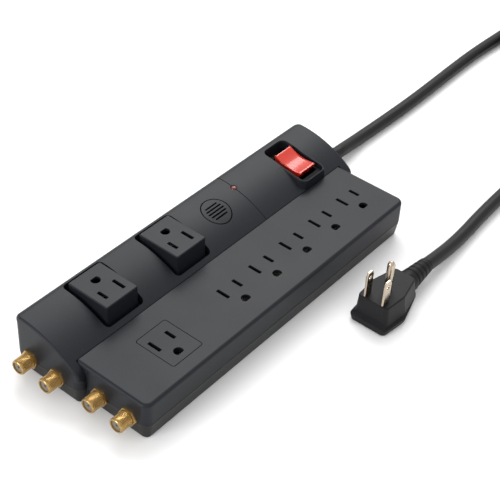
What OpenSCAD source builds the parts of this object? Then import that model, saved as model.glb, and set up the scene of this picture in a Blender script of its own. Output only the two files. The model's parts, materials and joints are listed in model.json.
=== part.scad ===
// Eight-outlet surge protector strip with coaxial jacks, a lighted rocker switch,
// a mains cord and a flat plug. Origin: bottom centre of the strip itself.
// +Y runs along the strip towards the cord, +Z is up, +X is the flat side.

/* [Body] */
// Overall width of the strip
body_w = 95; // [94:1:115]
// Length of the arched left half
pod_len = 250.5; // [246:0.5:310]
// Height of the flat right half
deck_h = 27; // [25:0.5:30]
// Height of the arched half at its crest
pod_h = 38.5; // [37.5:0.5:40]
// Width of the arched half, up to the flat one
pod_w = 43; // [42:0.5:46]
// Radius of the arch
arch_r = 68.5; // [66:0.5:80]
// How far the arched half stands out in front of the flat one
front_step = 5.5; // [4:0.5:8]
// How far the arched half stands out behind the flat one
back_step = 7; // [4:0.5:10]
// How far the arched half's ends reach past the step, under the curl
end_reach = 7.5; // [5:0.5:10]
// Wall of the covers and of the base
wall = 2.2; // [1.8:0.1:2.6]
// Height of the joint between the base and the covers
seam_z = 11.5; // [10.5:0.5:13]
// How far the base draws in from the joint to the floor
base_draft = 1.6; // [0.5:0.1:2.5]
// Corner radius in plan
corner_r = 5; // [3:0.5:6]

/* [Outlets] */
// Distance between neighbouring outlets of the row
outlet_pitch = 28.8; // [28:0.1:34]
// Outlets in the row
row_count = 5; // [3:1:5]
// From the front of the strip to the first outlet of the row
row_start = 105.5; // [100:0.5:120]
// From the step to the blade slots of the flat half
deck_slot_in = 24; // [23:0.5:26]
// From the left side to the blade slots of the raised blocks
pod_slot_in = 28; // [27:0.5:29]
// Distance between the two blade slots
blade_gap = 12.7; // [12.7:0.1:12.8]
// From the blade slots to the ground hole
ground_off = 11.9; // [11.8:0.1:12]
// Length of the hot slot
hot_len = 7.3; // [7:0.1:8]
// Length of the neutral slot
neutral_len = 9; // [8.5:0.1:9.2]
// Width of both slots
slot_w = 2.2; // [2:0.1:2.4]
// Diameter of the ground hole
ground_d = 5.8; // [5.4:0.1:6.2]
// Width of a raised outlet block
block_w = 30.4; // [30:0.2:31]
// Length of a raised outlet block
block_l = 25; // [24:0.5:28]
// Height of the top of a raised outlet block
block_h = 41; // [40:0.5:43]
// Width of the recess round a raised block
moat = 2.7; // [2:0.1:2.8]

/* [Switch] */
// Length of the switch well, across the strip
well_l = 35.3; // [34:0.1:36]
// Width of the switch well
well_w = 20.4; // [19:0.1:22]
// From the left side to the middle of the well
well_in = 24.35; // [23.5:0.05:24.5]
// From the back of the strip to the middle of the well
well_back = 32.5; // [28:0.5:36]
// Length of the rocker
rocker_l = 22; // [18:0.5:23]
// Width of the rocker
rocker_w = 15.1; // [13:0.1:16]
// Angle from the middle to either stop
rocker_throw = 10; // [8:0.5:13]

/* [Coaxial jacks] */
// Diameter of a jack's thread
jack_d = 9.5; // [9.4:0.05:9.6]
// How far a jack stands out of its wall
jack_out = 10; // [8:0.5:12]
// Width across a jack's hexagon
jack_hex = 11.1; // [11:0.1:12]

/* [Cord and plug] */
// Diameter of the mains cord
cord_d = 9; // [8:0.5:9]
// Height of the cord's exit
exit_z = 8; // [7.5:0.5:8.5]
// Length of the strain relief behind the strip
relief_l = 24; // [22:1:26]
// Height of the plug's face over the floor
plug_h = 19; // [18:0.5:22]
// Length of the plug's flat blades
blade_l = 17.5; // [16:0.5:18]
// Length of the plug's ground pin
pin_l = 21.4; // [20:0.1:22]
// Diameter of the plug's ground pin
pin_d = 4.75; // [4.7:0.05:4.8]

/* [Fits] */
// Gap between two shells that meet
shell_gap = 0.15; // [0.1:0.05:0.3]
// Gap round a piece that sits in an opening
seat_gap = 0.2; // [0.1:0.05:0.3]
// Radial gap of a running pin in its hole
pin_gap = 0.05; // [0.03:0.01:0.1]

/* [Hidden] */
$fn = 48;

left = -body_w / 2;
right = body_w / 2;
pod_front = (jack_out - pod_len) / 2;
pod_back = pod_front + pod_len;
deck_front = pod_front + front_step;
deck_back = pod_back - back_step;
step_x = left + pod_w;
end_x = step_x + end_reach;

// The arch: a large circle from the crest, then a curl down to the end wall.
crest_x = left + corner_r;
arch_z0 = pod_h - arch_r;
curl_r = 10;
curl_x = end_x - curl_r;
curl_z = arch_z0 + sqrt(pow(arch_r - curl_r, 2) - pow(curl_x - crest_x, 2));
curl_turn = atan2(curl_z - arch_z0, curl_x - crest_x);
function arch_z(x) = arch_z0 + sqrt(arch_r * arch_r - pow(x - crest_x, 2));
function arc(cx, cy, r, a0, a1, n) =
    [for (i = [0 : n]) let (a = a0 + (a1 - a0) * i / n) [cx + r * cos(a), cy + r * sin(a)]];

// Outlets
slot_x = step_x + deck_slot_in;
pod_slot_x = left + pod_slot_in;
first_y = pod_front + row_start;
single_y = first_y - 2 * outlet_pitch;
row_y = [for (i = [0 : row_count - 1]) first_y + i * outlet_pitch];
deck_y = concat([single_y], row_y);
block_y = [single_y, first_y];
insert_l = 28.4;
insert_w = 23.8;
insert_x = slot_x + 3.8;
insert_y = single_y + 1.3;
block_x = pod_slot_x - 6;
block_wall = 2;
flange_t = 1.6;
flange_z = 24.4;
recess_wall = 1.1;

// Contact bars: a flat strip with a spring clip under every slot.
bar_t = 0.8;
bar_w = 2.6;
clip_h = 11;
clip_w = 7;
leaf_t = 0.5;
leaf_gap = 1.7;
tube_r = 2.5;
deck_bar_z = 7.2;
pod_bar_z = 20.5;
carrier_t = 3;
carrier_in = -7.8;
carrier_out = 17.5;

// Screws
screw_d = 2.9;
head_d = 5.6;
head_h = 2.2;
screw_sink = 0.6;
boss_r = 3.2;
screw_edge = 7.2;
deck_screws = [
    [right - 6.2, deck_front + 27], [right - 6.2, first_y + 1.5 * outlet_pitch],
    [right - 6.2, deck_back - 8], [step_x + 5.5, first_y - outlet_pitch],
    [step_x + 5.5, deck_back - 20]
];
front_screws = [for (x = [left + screw_edge, step_x - 3.6]) [x, first_y - outlet_pitch]];
seam_y = pod_front + 168.5;
rear_screws = [
    [left + screw_edge, seam_y + 18], [step_x - 3.6, seam_y + 18], [step_x - 7.5, pod_back - 9]
];

// Switch
well_x = left + well_in;
well_y = pod_back - well_back;
rim_left_z = 38.3;
rim_right_z = 33.7;
rim_tilt = atan2(rim_left_z - rim_right_z, well_l);
boss_wall = 1.2;
well_r = 4;
bezel_z = 31.4;
pivot_z = 30.4;
pivot_d = 3;
rocker_tip = 7.2;
rocker_undercut = 2.6;
sleeve_d = 6.4;
lamp_d = 3;
lamp_gap = 0.15;
cavity_l = sleeve_d + 2 * lamp_d + 4 * lamp_gap;
rocker_sag = 2.2;
rocker_reach = sqrt(pow(rocker_l / 2, 2) + rocker_tip * rocker_tip);
housing_z = 12;
arm_pivot_z = pivot_z - 9.9;
arm_ratio = -0.5;

// Jacks
jack_x = [left + 12, left + 33, right - 34.5, right - 13.5];
function jack_wall(x) = x < step_x ? pod_front : deck_front;
nut_wall = 0.8;
nut_flats = jack_d + 2 * nut_wall;
board_t = 1.6;

// Indicator, grille and boards
led_x = crest_x + 11;
grille_x = left + 22.1;
grille_y = pod_front + 144.9;
grille_r = 6.9;
grille_pitch = 2.2;
grille_slot = 1.1;
buzzer_d = 19;
buzzer_z = 23;
board_z = 6;
board_x0 = left + 11.5;
board_x1 = left + 35.5;
board_y0 = grille_y - 18;
board_y1 = board_y0 + 76;

// Cord: exit, free route and coil
exit_x = left + 19.5;
plug_x = 83;
plug_y = 43;
plug_exit_y = plug_y + 34;
plug_exit_z = 9.5;
plug_relief = 14;
coil_x = 34;
coil_y = 408;
coil_r = 55;
coil_in_r = 62;
lead_route = [
    [-28.7, 168, 6.6], [-29.4, 185, 4.9], [-29.1, 205, 4.5], [-28.6, 228, 4.5], [-28.5, 250, 4.5],
    [-28.8, 270, 4.5], [-29.3, 290, 4.5], [-29.8, 310, 4.5], [-30, 330, 4.5],
    [-29.6, 350, 4.5], [-28.7, 370, 4.5], [-28, 386, 4.5]
];
tail_route = [
    [96, 386, 6.8], [95.6, 366, 4.8], [94, 346, 4.5], [91.5, 326, 4.5], [88.5, 306, 4.5],
    [85.5, 286, 4.5], [82, 266, 4.5], [79.5, 246, 4.5], [78.5, 226, 4.5],
    [78.5, 206, 4.5], [79, 186, 4.5], [80, 166, 4.5], [81.5, 146, 4.6], [82.5, 128, 5.6],
    [83, 110, 7.8]
];

function unit(v) = v / norm(v);
function ahead(p, i) = unit(p[min(i + 1, len(p) - 1)] - p[max(i - 1, 0)]);
function ring(c, t, r, n) =
    let (s = unit(cross(t, [0.02, 0.03, 1])), u = cross(s, t))
    [for (k = [0 : n - 1]) c + r * (cos(360 * k / n) * s + sin(360 * k / n) * u)];

// A round tube swept along the points p.
module tube(p, r, n = 10) {
    m = len(p);
    polyhedron(
        points = [for (i = [0 : m - 1]) each ring(p[i], ahead(p, i), r, n)],
        faces = concat(
            [[for (k = [0 : n - 1]) k]],
            [for (i = [0 : m - 2], k = [0 : n - 1])
                [i * n + k, (i + 1) * n + k, (i + 1) * n + (k + 1) % n, i * n + (k + 1) % n]],
            [[for (k = [n - 1 : -1 : 0]) (m - 1) * n + k]]
        )
    );
}

// Rectangle with round corners, from its four sides.
module round_rect(x0, y0, x1, y1, r) {
    translate([x0 + r, y0]) square([x1 - x0 - 2 * r, y1 - y0]);
    translate([x0, y0 + r]) square([x1 - x0, y1 - y0 - 2 * r]);
    for (x = [x0 + r, x1 - r], y = [y0 + r, y1 - r]) translate([x, y]) circle(r);
}

module along_y(y0, y1) translate([0, y1, 0]) rotate([90, 0, 0]) linear_extrude(y1 - y0) children();
module span(x0, x1, y0, y1, z0, z1) translate([x0, y0, z0]) cube([x1 - x0, y1 - y0, z1 - z0]);
module at(points, z) for (p = points) translate([p[0], p[1], z]) children();

// Body shapes, each drawn in by an inset
module pod_profile(inset, z0) {
    polygon(concat(
        [[left + inset, z0]],
        arc(crest_x, pod_h - corner_r, corner_r - inset, 180, 90, 5),
        arc(crest_x, arch_z0, arch_r - inset, 90 - (90 - curl_turn) / 9, curl_turn, 8),
        arc(curl_x, curl_z, curl_r - inset, curl_turn * 0.8, 0, 4),
        [[end_x - inset, z0]]
    ));
}

module pod_solid(inset, z0) {
    intersection() {
        along_y(pod_front + inset, pod_back - inset) pod_profile(inset, z0);
        translate([0, 0, z0]) linear_extrude(pod_h)
            round_rect(left + inset, pod_front + inset, end_x - inset, pod_back - inset, corner_r - inset);
    }
}

module deck_solid(inset, z0, z1) {
    difference() {
        translate([0, 0, z0]) linear_extrude(z1 - z0)
            round_rect(step_x - 20, deck_front + inset, right - inset, deck_back - inset, corner_r - inset);
        span(step_x - 30, step_x + shell_gap, deck_front - 1, deck_back + 1, z0 - 1, z1 + 1);
    }
}

// Half of the base: a tapered tray shape with vertical height up to the seam.
module tapered(x0, y0, x1, y1, inset, z0, z1) {
    hull() {
        translate([0, 0, z1 - 0.01]) linear_extrude(0.01)
            round_rect(x0 + inset, y0 + inset, x1 - inset, y1 - inset, corner_r - inset / 2, $fn = 32);
        translate([0, 0, z0]) linear_extrude(0.01)
            let (d = inset + base_draft)
            round_rect(x0 + d, y0 + d, x1 - d, y1 - d, corner_r - d / 2, $fn = 32);
    }
}

module jack_holes(r) for (x = jack_x) translate([x, jack_wall(x) - 1, seam_z])
    rotate([-90, 0, 0]) cylinder(h = wall + 6, r = r);
module exit_hole() translate([exit_x, pod_back - wall - 4, exit_z])
    rotate([-90, 0, 0]) cylinder(h = wall + 6, r = cord_d / 2 + 1.1);
module screw_holes(points, z) at(points, z) cylinder(h = deck_h, d = screw_d + 0.1);
module cover_boss(points, tops) for (i = [0 : len(points) - 1])
    translate([points[i][0], points[i][1], seam_z]) cylinder(h = tops[i] - seam_z, r = boss_r);

// Slots of one outlet, blade slots at the origin and the ground hole towards +X
module outlet_cuts(depth) {
    translate([-hot_len / 2, blade_gap / 2 - slot_w / 2, -depth]) cube([hot_len, slot_w, depth + 1]);
    translate([-neutral_len / 2, -blade_gap / 2 - slot_w / 2, -depth]) cube([neutral_len, slot_w, depth + 1]);
    intersection() {
        translate([ground_off, 0, -depth]) cylinder(h = depth + 1, d = ground_d);
        translate([ground_off - ground_d, -ground_d, -depth]) cube([ground_d * 1.33, 2 * ground_d, depth + 1]);
    }
}

module base_shell() color([0.13, 0.14, 0.16]) {
    all = concat(deck_screws, front_screws, rear_screws);
    difference() {
        union() {
            difference() {
                union() {
                    tapered(left, pod_front, end_x, pod_back, 0, 0, seam_z);
                    tapered(step_x - 20, deck_front, right, deck_back, 0, 0, seam_z);
                }
                tapered(left, pod_front, end_x, pod_back, wall, wall, seam_z + 0.01);
                tapered(step_x - 20, deck_front, right, deck_back, wall, wall, seam_z + 0.01);
            }
            at(all, 1) cylinder(h = seam_z - 1 - shell_gap, r = boss_r);
        }
        at(all, -1) cylinder(h = seam_z + 2, d = screw_d + 0.4);
        at(all, -1) cylinder(h = 1 + head_h + screw_sink, d = head_d + 0.6);
        jack_holes(jack_d / 2 + seat_gap);
        at_jacks() translate([0, 0, -wall - 3]) cylinder(h = 3, d = nut_flats / cos(30) + 1);
        exit_hole();
        for (y = [pod_front + 40, pod_back - 40]) keyhole(y);
    }
}

// Keyhole slot for hanging on a screw: a wide entry and a narrow neck.
keyhole_x = 0;
keyhole_d = 8;
keyhole_neck = 4.2;
keyhole_run = 9;
module keyhole(y) {
    translate([keyhole_x, y, -1]) cylinder(h = wall + 2, d = keyhole_d);
    translate([keyhole_x, y + keyhole_run, -1]) cylinder(h = wall + 2, d = keyhole_neck);
    span(keyhole_x - keyhole_neck / 2, keyhole_x + keyhole_neck / 2, y, y + keyhole_run, -1, wall + 1);
}

module deck_cover() color([0.36, 0.37, 0.39]) {
    z0 = seam_z + shell_gap;
    difference() {
        union() {
            difference() {
                deck_solid(0, z0, deck_h);
                deck_solid(wall, z0 - 1, deck_h - wall);
            }
            span(step_x + shell_gap, step_x + shell_gap + 1.6, deck_front + 1, deck_back - 1, deck_h - 9, deck_h - 1);
            cover_boss(deck_screws, [for (p = deck_screws) deck_h - 1]);
        }
        screw_holes(deck_screws, z0 - deck_h + 8);
        for (y = row_y) translate([slot_x, y, deck_h]) outlet_cuts(wall + 1);
        span(insert_x - insert_l / 2 - seat_gap, insert_x + insert_l / 2 + seat_gap,
            insert_y - insert_w / 2 - seat_gap, insert_y + insert_w / 2 + seat_gap, deck_h - wall - 1, deck_h + 1);
        jack_holes(jack_d / 2 + seat_gap);
    }
}

// Arched shell between two places along Y, with its lip along the step.
module pod_shell(y0, y1, screws) {
    z0 = seam_z + shell_gap;
    difference() {
        union() {
            difference() {
                pod_solid(0, z0);
                pod_solid(wall, z0 - 1);
                span(step_x - shell_gap, end_x + 5, deck_front - shell_gap, deck_back + shell_gap, 0, 50);
            }
            span(step_x - shell_gap - 1.6, step_x - shell_gap,
                pod_front + 1, pod_back - 1, deck_h - 9, arch_z(step_x) - 1);
            cover_boss(screws, [for (p = screws) arch_z(p[0]) - 1]);
        }
        span(left - 5, end_x + 5, pod_front - 5, y0, 0, 60);
        span(left - 5, end_x + 5, y1, pod_back + 5, 0, 60);
        screw_holes(screws, z0 - deck_h + 8);
    }
}

module pod_cover_front() color([0.2, 0.21, 0.24]) {
    difference() {
        union() {
            pod_shell(pod_front - 1, seam_y - shell_gap / 2, front_screws);
            buzzer_collar();
            recess_walls();
        }
        for (y = block_y) span(block_x - block_w / 2 - moat, block_x + block_w / 2 + moat,
            y - block_l / 2 - moat, y + block_l / 2 + moat, flange_z, 50);
        jack_holes(jack_d / 2 + seat_gap);
        grille_slots();
        translate([led_x, seam_y, 30]) cylinder(h = 20, d = 4 + 2 * seat_gap);
    }
}

// Walls that close the recesses of the raised blocks, down to the blocks' flanges
module recess_walls() intersection() {
    pod_solid(wall / 2, seam_z);
    for (y = block_y) span(block_x - block_w / 2 - moat - recess_wall, block_x + block_w / 2 + moat + recess_wall,
        y - block_l / 2 - moat - recess_wall, y + block_l / 2 + moat + recess_wall, flange_z, 50);
}

// Ring under the arch that holds the buzzer
module buzzer_collar() intersection() {
    pod_solid(wall / 2, seam_z);
    translate([grille_x, grille_y, buzzer_z + 2]) difference() {
        cylinder(h = 20, d = buzzer_d + 2 * seat_gap + 2.4);
        translate([0, 0, -1]) cylinder(h = 22, d = buzzer_d + 2 * seat_gap);
    }
}

// Sound slots through the round field over the buzzer
module grille_slots() {
    for (x = [-2 * grille_pitch : grille_pitch : 2 * grille_pitch]) {
        run = sqrt(grille_r * grille_r - x * x);
        span(grille_x + x - grille_slot / 2, grille_x + x + grille_slot / 2, grille_y - run, grille_y + run, 30, 45);
    }
}

module pod_cover_rear() color([0.2, 0.21, 0.24]) {
    difference() {
        union() {
            pod_shell(seam_y + shell_gap / 2, pod_back + 1, rear_screws);
            switch_boss();
        }
        well_shape(0, housing_z - 1);
        exit_hole();
        translate([led_x, seam_y, 30]) cylinder(h = 20, d = 4 + 2 * seat_gap);
    }
}

// Collar round the switch well, cut level with a plane that leans to the right.
module switch_boss() {
    difference() {
        intersection() {
            well_shape(boss_wall, 26);
            rim_half_space();
            span(left + 1, step_x - shell_gap, pod_front, pod_back, 0, 60);
        }
        well_shape(0, 20);
    }
}

module well_shape(grow, z) translate([0, 0, z]) linear_extrude(50 - z)
    round_rect(well_x - well_l / 2 - grow, well_y - well_w / 2 - grow,
        well_x + well_l / 2 + grow, well_y + well_w / 2 + grow, well_r + grow);

module rim_half_space() translate([well_x - well_l / 2, well_y - 40, rim_left_z])
    rotate([0, rim_tilt, 0]) translate([-20, 0, -60]) cube([90, 80, 60]);

module outlet_block(y) {
    difference() {
        union() {
            span(block_x - block_w / 2, block_x + block_w / 2,
                y - block_l / 2, y + block_l / 2, flange_z - flange_t, block_h);
            span(max(block_x - block_w / 2 - moat - 1, left + wall + 0.4), block_x + block_w / 2 + moat + 0.3,
                y - block_l / 2 - moat - 1, y + block_l / 2 + moat + 1, flange_z - flange_t, flange_z - shell_gap);
        }
        span(block_x - block_w / 2 + block_wall, block_x + block_w / 2 - block_wall,
            y - block_l / 2 + block_wall, y + block_l / 2 - block_wall, flange_z - 5, block_h - block_wall);
        translate([pod_slot_x, y, block_h]) rotate(180) outlet_cuts(block_wall + 1);
    }
}
module outlet_block_front() color([0.33, 0.34, 0.37]) outlet_block(block_y[0]);
module outlet_block_rear() color([0.33, 0.34, 0.37]) outlet_block(block_y[1]);

module outlet_insert() color([0.36, 0.37, 0.39]) {
    lip = 1.2;
    difference() {
        union() {
            span(insert_x - insert_l / 2, insert_x + insert_l / 2,
                insert_y - insert_w / 2, insert_y + insert_w / 2, deck_h - wall - shell_gap, deck_h);
            span(insert_x - insert_l / 2 - lip, insert_x + insert_l / 2 + lip, insert_y - insert_w / 2 - lip,
                insert_y + insert_w / 2 + lip, deck_h - wall - shell_gap - 1.4, deck_h - wall - shell_gap);
        }
        translate([slot_x, single_y, deck_h]) outlet_cuts(wall + 3);
    }
}

// One contact bar: strip from x0, clips over to the slots at offset dy.
module contact_bar(ys, strip_x, dy) {
    span(strip_x, strip_x + bar_w, min(ys) - 9, max(ys) + 9, 0, bar_t);
    for (y = ys) translate([0, y + dy, 0]) {
        span(min(-clip_w / 2, strip_x), max(clip_w / 2, strip_x + 0.5), -leaf_gap / 2 - leaf_t,
            leaf_gap / 2 + leaf_t, 0, bar_t);
        for (s = [-1, 1]) span(-clip_w / 2, clip_w / 2, s * (leaf_gap + leaf_t) / 2 - leaf_t / 2,
            s * (leaf_gap + leaf_t) / 2 + leaf_t / 2, 0, clip_h);
    }
}
module ground_bar(ys) {
    strip_x = ground_off + 3.3;
    span(strip_x, strip_x + 2, min(ys) - 9, max(ys) + 9, 0, bar_t);
    for (y = ys) translate([ground_off, y, 0]) {
        difference() {
            union() {
                cylinder(h = clip_h, r = tube_r + leaf_t);
                span(0, 3.6, -2, 2, 0, bar_t);
            }
            translate([0, 0, -1]) cylinder(h = clip_h + 2, r = tube_r);
        }
    }
}
module on_deck(z) translate([slot_x, 0, z]) children();
module on_pod(z) translate([pod_slot_x, 0, z]) mirror([1, 0, 0]) children();

module deck_neutral_bar() color([0.8, 0.65, 0.35]) on_deck(deck_bar_z) contact_bar(deck_y, -7.5, -blade_gap / 2);
module deck_hot_bar() color([0.8, 0.65, 0.35]) on_deck(deck_bar_z) contact_bar(deck_y, 5.2, blade_gap / 2);
module deck_ground_bar() color([0.8, 0.65, 0.35]) on_deck(deck_bar_z) ground_bar(deck_y);
module pod_neutral_bar() color([0.8, 0.65, 0.35]) on_pod(pod_bar_z) contact_bar(block_y, -7.5, blade_gap / 2);
module pod_hot_bar() color([0.8, 0.65, 0.35]) on_pod(pod_bar_z) contact_bar(block_y, 5.2, -blade_gap / 2);
module pod_ground_bar() color([0.8, 0.65, 0.35]) on_pod(pod_bar_z) ground_bar(block_y);

module carrier(ys, top) {
    y0 = min(ys) - 11;
    y1 = max(ys) + 11;
    difference() {
        span(carrier_in, carrier_out, y0, y1, top - carrier_t, top);
        for (y = ys) translate([ground_off, y, top - carrier_t - 1]) cylinder(h = carrier_t + 2, r = tube_r);
    }
    for (x = [carrier_in + 3, carrier_out - 3], y = [y0 + 3, y1 - 3])
        translate([x, y, wall]) cylinder(h = top - wall - 1, r = 2.5);
}
module deck_contact_carrier() color([0.85, 0.85, 0.8]) on_deck(0) carrier(deck_y, deck_bar_z);
module pod_contact_carrier() color([0.85, 0.85, 0.8]) on_pod(0) carrier(block_y, pod_bar_z);

module cover_screws() color([0.6, 0.6, 0.62]) {
    at(concat(deck_screws, front_screws, rear_screws), screw_sink) {
        cylinder(h = head_h, d = head_d);
        cylinder(h = 17, d = screw_d);
    }
}

// Switch: black housing with side walls that carry the rocker's pins
housing_l = well_l - 2 * seat_gap;
housing_w = well_w - 2 * seat_gap;
gate_l = 2 * rocker_reach + 0.8;
gate_w = rocker_w + 0.7;
module housing_outline() round_rect(well_x - housing_l / 2, well_y - housing_w / 2,
    well_x + housing_l / 2, well_y + housing_w / 2, well_r - seat_gap);
module switch_housing() color([0.06, 0.06, 0.07]) {
    difference() {
        union() {
            translate([0, 0, bezel_z - 1.8]) linear_extrude(1.8) housing_outline();
            intersection() {
                span(well_x - gate_l / 2 - 1.5, well_x + gate_l / 2 + 1.5,
                    well_y - gate_w / 2 - 1.5, well_y + gate_w / 2 + 1.5, housing_z, bezel_z - 0.5);
                translate([0, 0, housing_z - 1]) linear_extrude(bezel_z) housing_outline();
            }
        }
        span(well_x - gate_l / 2, well_x + gate_l / 2,
            well_y - gate_w / 2, well_y + gate_w / 2, housing_z + 1.6, bezel_z + 1);
        for (z = [pivot_z, arm_pivot_z]) translate([well_x, well_y - well_w, z])
            rotate([-90, 0, 0]) cylinder(h = 2 * well_w, d = pivot_d * (z == pivot_z ? 1 : 0.5) + 2 * pin_gap);
        terminal_slots(seat_gap);
    }
}

// Rocker drawn level, then tipped to its stop: left end up
module rocker_pose() translate([well_x, well_y, pivot_z]) rotate([0, rocker_throw, 0]) children();
module rocker() color([0.85, 0.12, 0.1]) rocker_pose() {
    half = rocker_l / 2;
    top_r = (half * half + rocker_sag * rocker_sag) / (2 * rocker_sag);
    skirt = 2.4;
    difference() {
        union() {
            translate([0, rocker_w / 2, 0]) rotate([90, 0, 0]) linear_extrude(rocker_w) polygon(concat(
                arc(0, rocker_tip - rocker_sag + top_r, top_r,
                    270 - asin(half / top_r), 270 + asin(half / top_r), 10),
                [[half - rocker_undercut, 0], [half - 3, -3], [3 - half, -3], [rocker_undercut - half, 0]]
            ));
            translate([0, gate_w / 2 + 1.3, 0]) rotate([90, 0, 0]) cylinder(h = gate_w + 2.6, d = pivot_d);
        }
        span(-cavity_l / 2, cavity_l / 2, -rocker_w / 2 + 1.6, rocker_w / 2 - 1.6, -4, skirt - 0.9);
        translate([0, 0, -4]) cylinder(h = 5.5, d = 4);
    }
    difference() {
        translate([0, 0, -5]) cylinder(h = 4.1 + skirt, d = sleeve_d);
        translate([0, 0, -6]) cylinder(h = 6.8, d = 4);
    }
}
module rocker_lamp() color([1, 0.6, 0.3]) rocker_pose()
    translate([sleeve_d / 2 + lamp_gap + lamp_d / 2, 4.5, -0.8]) rotate([90, 0, 0]) cylinder(h = 9, d = lamp_d);
plunger_d = 3.7;
plunger_gap = 0.35;
plunger_lip = 0.06;
plunger_z = arm_pivot_z + pivot_d / 4 + plunger_gap + plunger_d / 2 - pivot_z;
module plunger() color([0.9, 0.9, 0.86]) rocker_pose() {
    translate([0, 0, plunger_z]) cylinder(h = -2.4 - plunger_z, d = plunger_d);
    translate([0, 0, plunger_z]) sphere(d = plunger_d - plunger_lip);
}
module plunger_spring() color([0.7, 0.7, 0.72]) rocker_pose()
    tube([for (i = [0 : 40]) [1.45 * cos(36 * i), 1.45 * sin(36 * i), -2.2 + i * 0.0625]], 0.2, 6);

// Rocking contact lever on its own pin
module contact_arm() color([0.82, 0.6, 0.3]) translate([well_x, well_y, arm_pivot_z])
    rotate([0, rocker_throw * arm_ratio, 0]) {
        span(-8, 8, -2, 2, -0.9, 0);
        span(-1.4, 1.4, -2, 2, -1.4, -0.5);
        for (x = [-6.8, 6.8]) translate([x, 0, -1.6]) cylinder(h = 0.9, d = 2.6);
        translate([0, gate_w / 2 + 1.2, 0]) rotate([90, 0, 0]) cylinder(h = gate_w + 2.4, d = pivot_d / 2);
    }
arm_drop = 8 * sin(rocker_throw * -arm_ratio) + 1.9;
module terminal_slots(gap) for (x = [-6.8, 0.5])
    span(well_x + x - 0.4 - gap, well_x + x + 0.4 + gap, well_y - 3 - gap, well_y + 3 + gap, housing_z - 1, housing_z + 2.2);
module switch_terminals() color([0.8, 0.65, 0.35]) for (x = [-6.8, 0.5]) {
    span(well_x + x - 0.4, well_x + x + 0.4, well_y - 3, well_y + 3, housing_z - 5, housing_z + 3);
    if (x < 0) translate([well_x + x, well_y, housing_z + 2.9])
        cylinder(h = arm_pivot_z - arm_drop - housing_z - 3.1, d = 2.6);
}

// Boards and components
module power_board() color([0.1, 0.35, 0.2]) {
    span(board_x0, board_x1, board_y0, board_y1, board_z, board_z + board_t);
    for (x = [board_x0 + 3, board_x1 - 3], y = [board_y0 + 3, board_y1 - 3])
        translate([x, y, wall]) cylinder(h = board_z - wall, r = 2);
}
board_top = board_z + board_t;
module on_board(dx, dy) translate([board_x0 + dx, board_y0 + dy, board_top]) children();
module varistors() color([0.15, 0.35, 0.7]) for (i = [0 : 2]) on_board(13, 38 + i * 7) {
    translate([0, 2, 8]) rotate([90, 0, 0]) cylinder(h = 4, d = 14);
    for (s = [-1, 1]) translate([3.75 * s, 0, 0]) cylinder(h = 3, d = 0.8);
}
module thermal_fuse() color([0.85, 0.8, 0.65]) on_board(3.5, 64) {
    translate([0, 0, 1.7]) rotate([0, 90, 0]) cylinder(h = 11, d = 3.2);
    for (x = [1, 10]) translate([x, 0, 0]) cylinder(h = 1.5, d = 0.8);
}
module line_capacitor() color([0.85, 0.75, 0.2]) on_board(3, 3) cube([18, 8, 14]);
module line_choke() color([0.7, 0.35, 0.15]) on_board(12, 22) difference() {
    cylinder(h = 7, d = 17);
    translate([0, 0, -1]) cylinder(h = 9, d = 8);
}
module alarm_buzzer() color([0.08, 0.08, 0.08]) translate([grille_x, grille_y, buzzer_z]) difference() {
    cylinder(h = 7, d = buzzer_d);
    translate([0, 0, 6]) cylinder(h = 2, d = 3);
}
lens_z = arch_z(led_x);
module indicator_led() color([0.9, 0.1, 0.1]) translate([led_x, seam_y, 0]) {
    translate([0, 0, lens_z - 8]) cylinder(h = 4.5, d = 3);
    for (s = [-0.6, 0.6]) translate([s, 0, board_top]) cylinder(h = lens_z - 8 - board_top, d = 0.5);
}
module indicator_lens() color([0.75, 0.08, 0.08]) translate([led_x, seam_y, lens_z - 3.2]) {
    cylinder(h = 3.4, d = 4);
    translate([0, 0, 3.4]) intersection() {
        translate([0, 0, -2.2]) sphere(r = 3);
        cylinder(h = 2, r = 3);
    }
}

// Coaxial jacks
jack_tail = wall + 5;
jack_bore = 7;
contact_d = 1.5;
contact_tail = wall + 8;
module at_jacks() for (x = jack_x) translate([x, jack_wall(x), seam_z]) rotate([90, 0, 0]) children();
module hexagon(h, flats) cylinder(h = h, d = flats / cos(30), $fn = 6);
module jack_bodies() color([0.78, 0.6, 0.25]) at_jacks() difference() {
    union() {
        translate([0, 0, -jack_tail]) cylinder(h = jack_tail + jack_out, d = jack_d);
        hexagon(1.6, jack_hex);
    }
    translate([0, 0, -jack_tail - 1]) cylinder(h = jack_tail + jack_out + 2, d = jack_bore);
}
module jack_nuts() color([0.75, 0.58, 0.25]) at_jacks() translate([0, 0, -wall - 2.4]) difference() {
    hexagon(2.2, nut_flats);
    translate([0, 0, -1]) cylinder(h = 5, d = jack_d + 2 * pin_gap);
}
module jack_insulators() color([0.92, 0.92, 0.9]) at_jacks() translate([0, 0, -jack_tail]) difference() {
    cylinder(h = jack_tail + jack_out - 1, d = jack_bore - 2 * pin_gap);
    translate([0, 0, -1]) cylinder(h = jack_tail + jack_out + 2, d = contact_d + 2 * pin_gap);
}
module jack_contacts() color([0.85, 0.7, 0.35]) at_jacks()
    translate([0, 0, -contact_tail]) cylinder(h = contact_tail + jack_out - 3, d = contact_d);
coax_back = contact_tail + 0.2;
function coax_y(i) = jack_wall(jack_x[i]) + coax_back;
module coax_board(a, b)
    span(jack_x[a] - 6, jack_x[b] + 6, coax_y(a), coax_y(a) + board_t, wall + 1, seam_z + 6);
module coax_board_left() color([0.1, 0.35, 0.2]) coax_board(0, 1);
module coax_board_right() color([0.1, 0.35, 0.2]) coax_board(2, 3);
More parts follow.
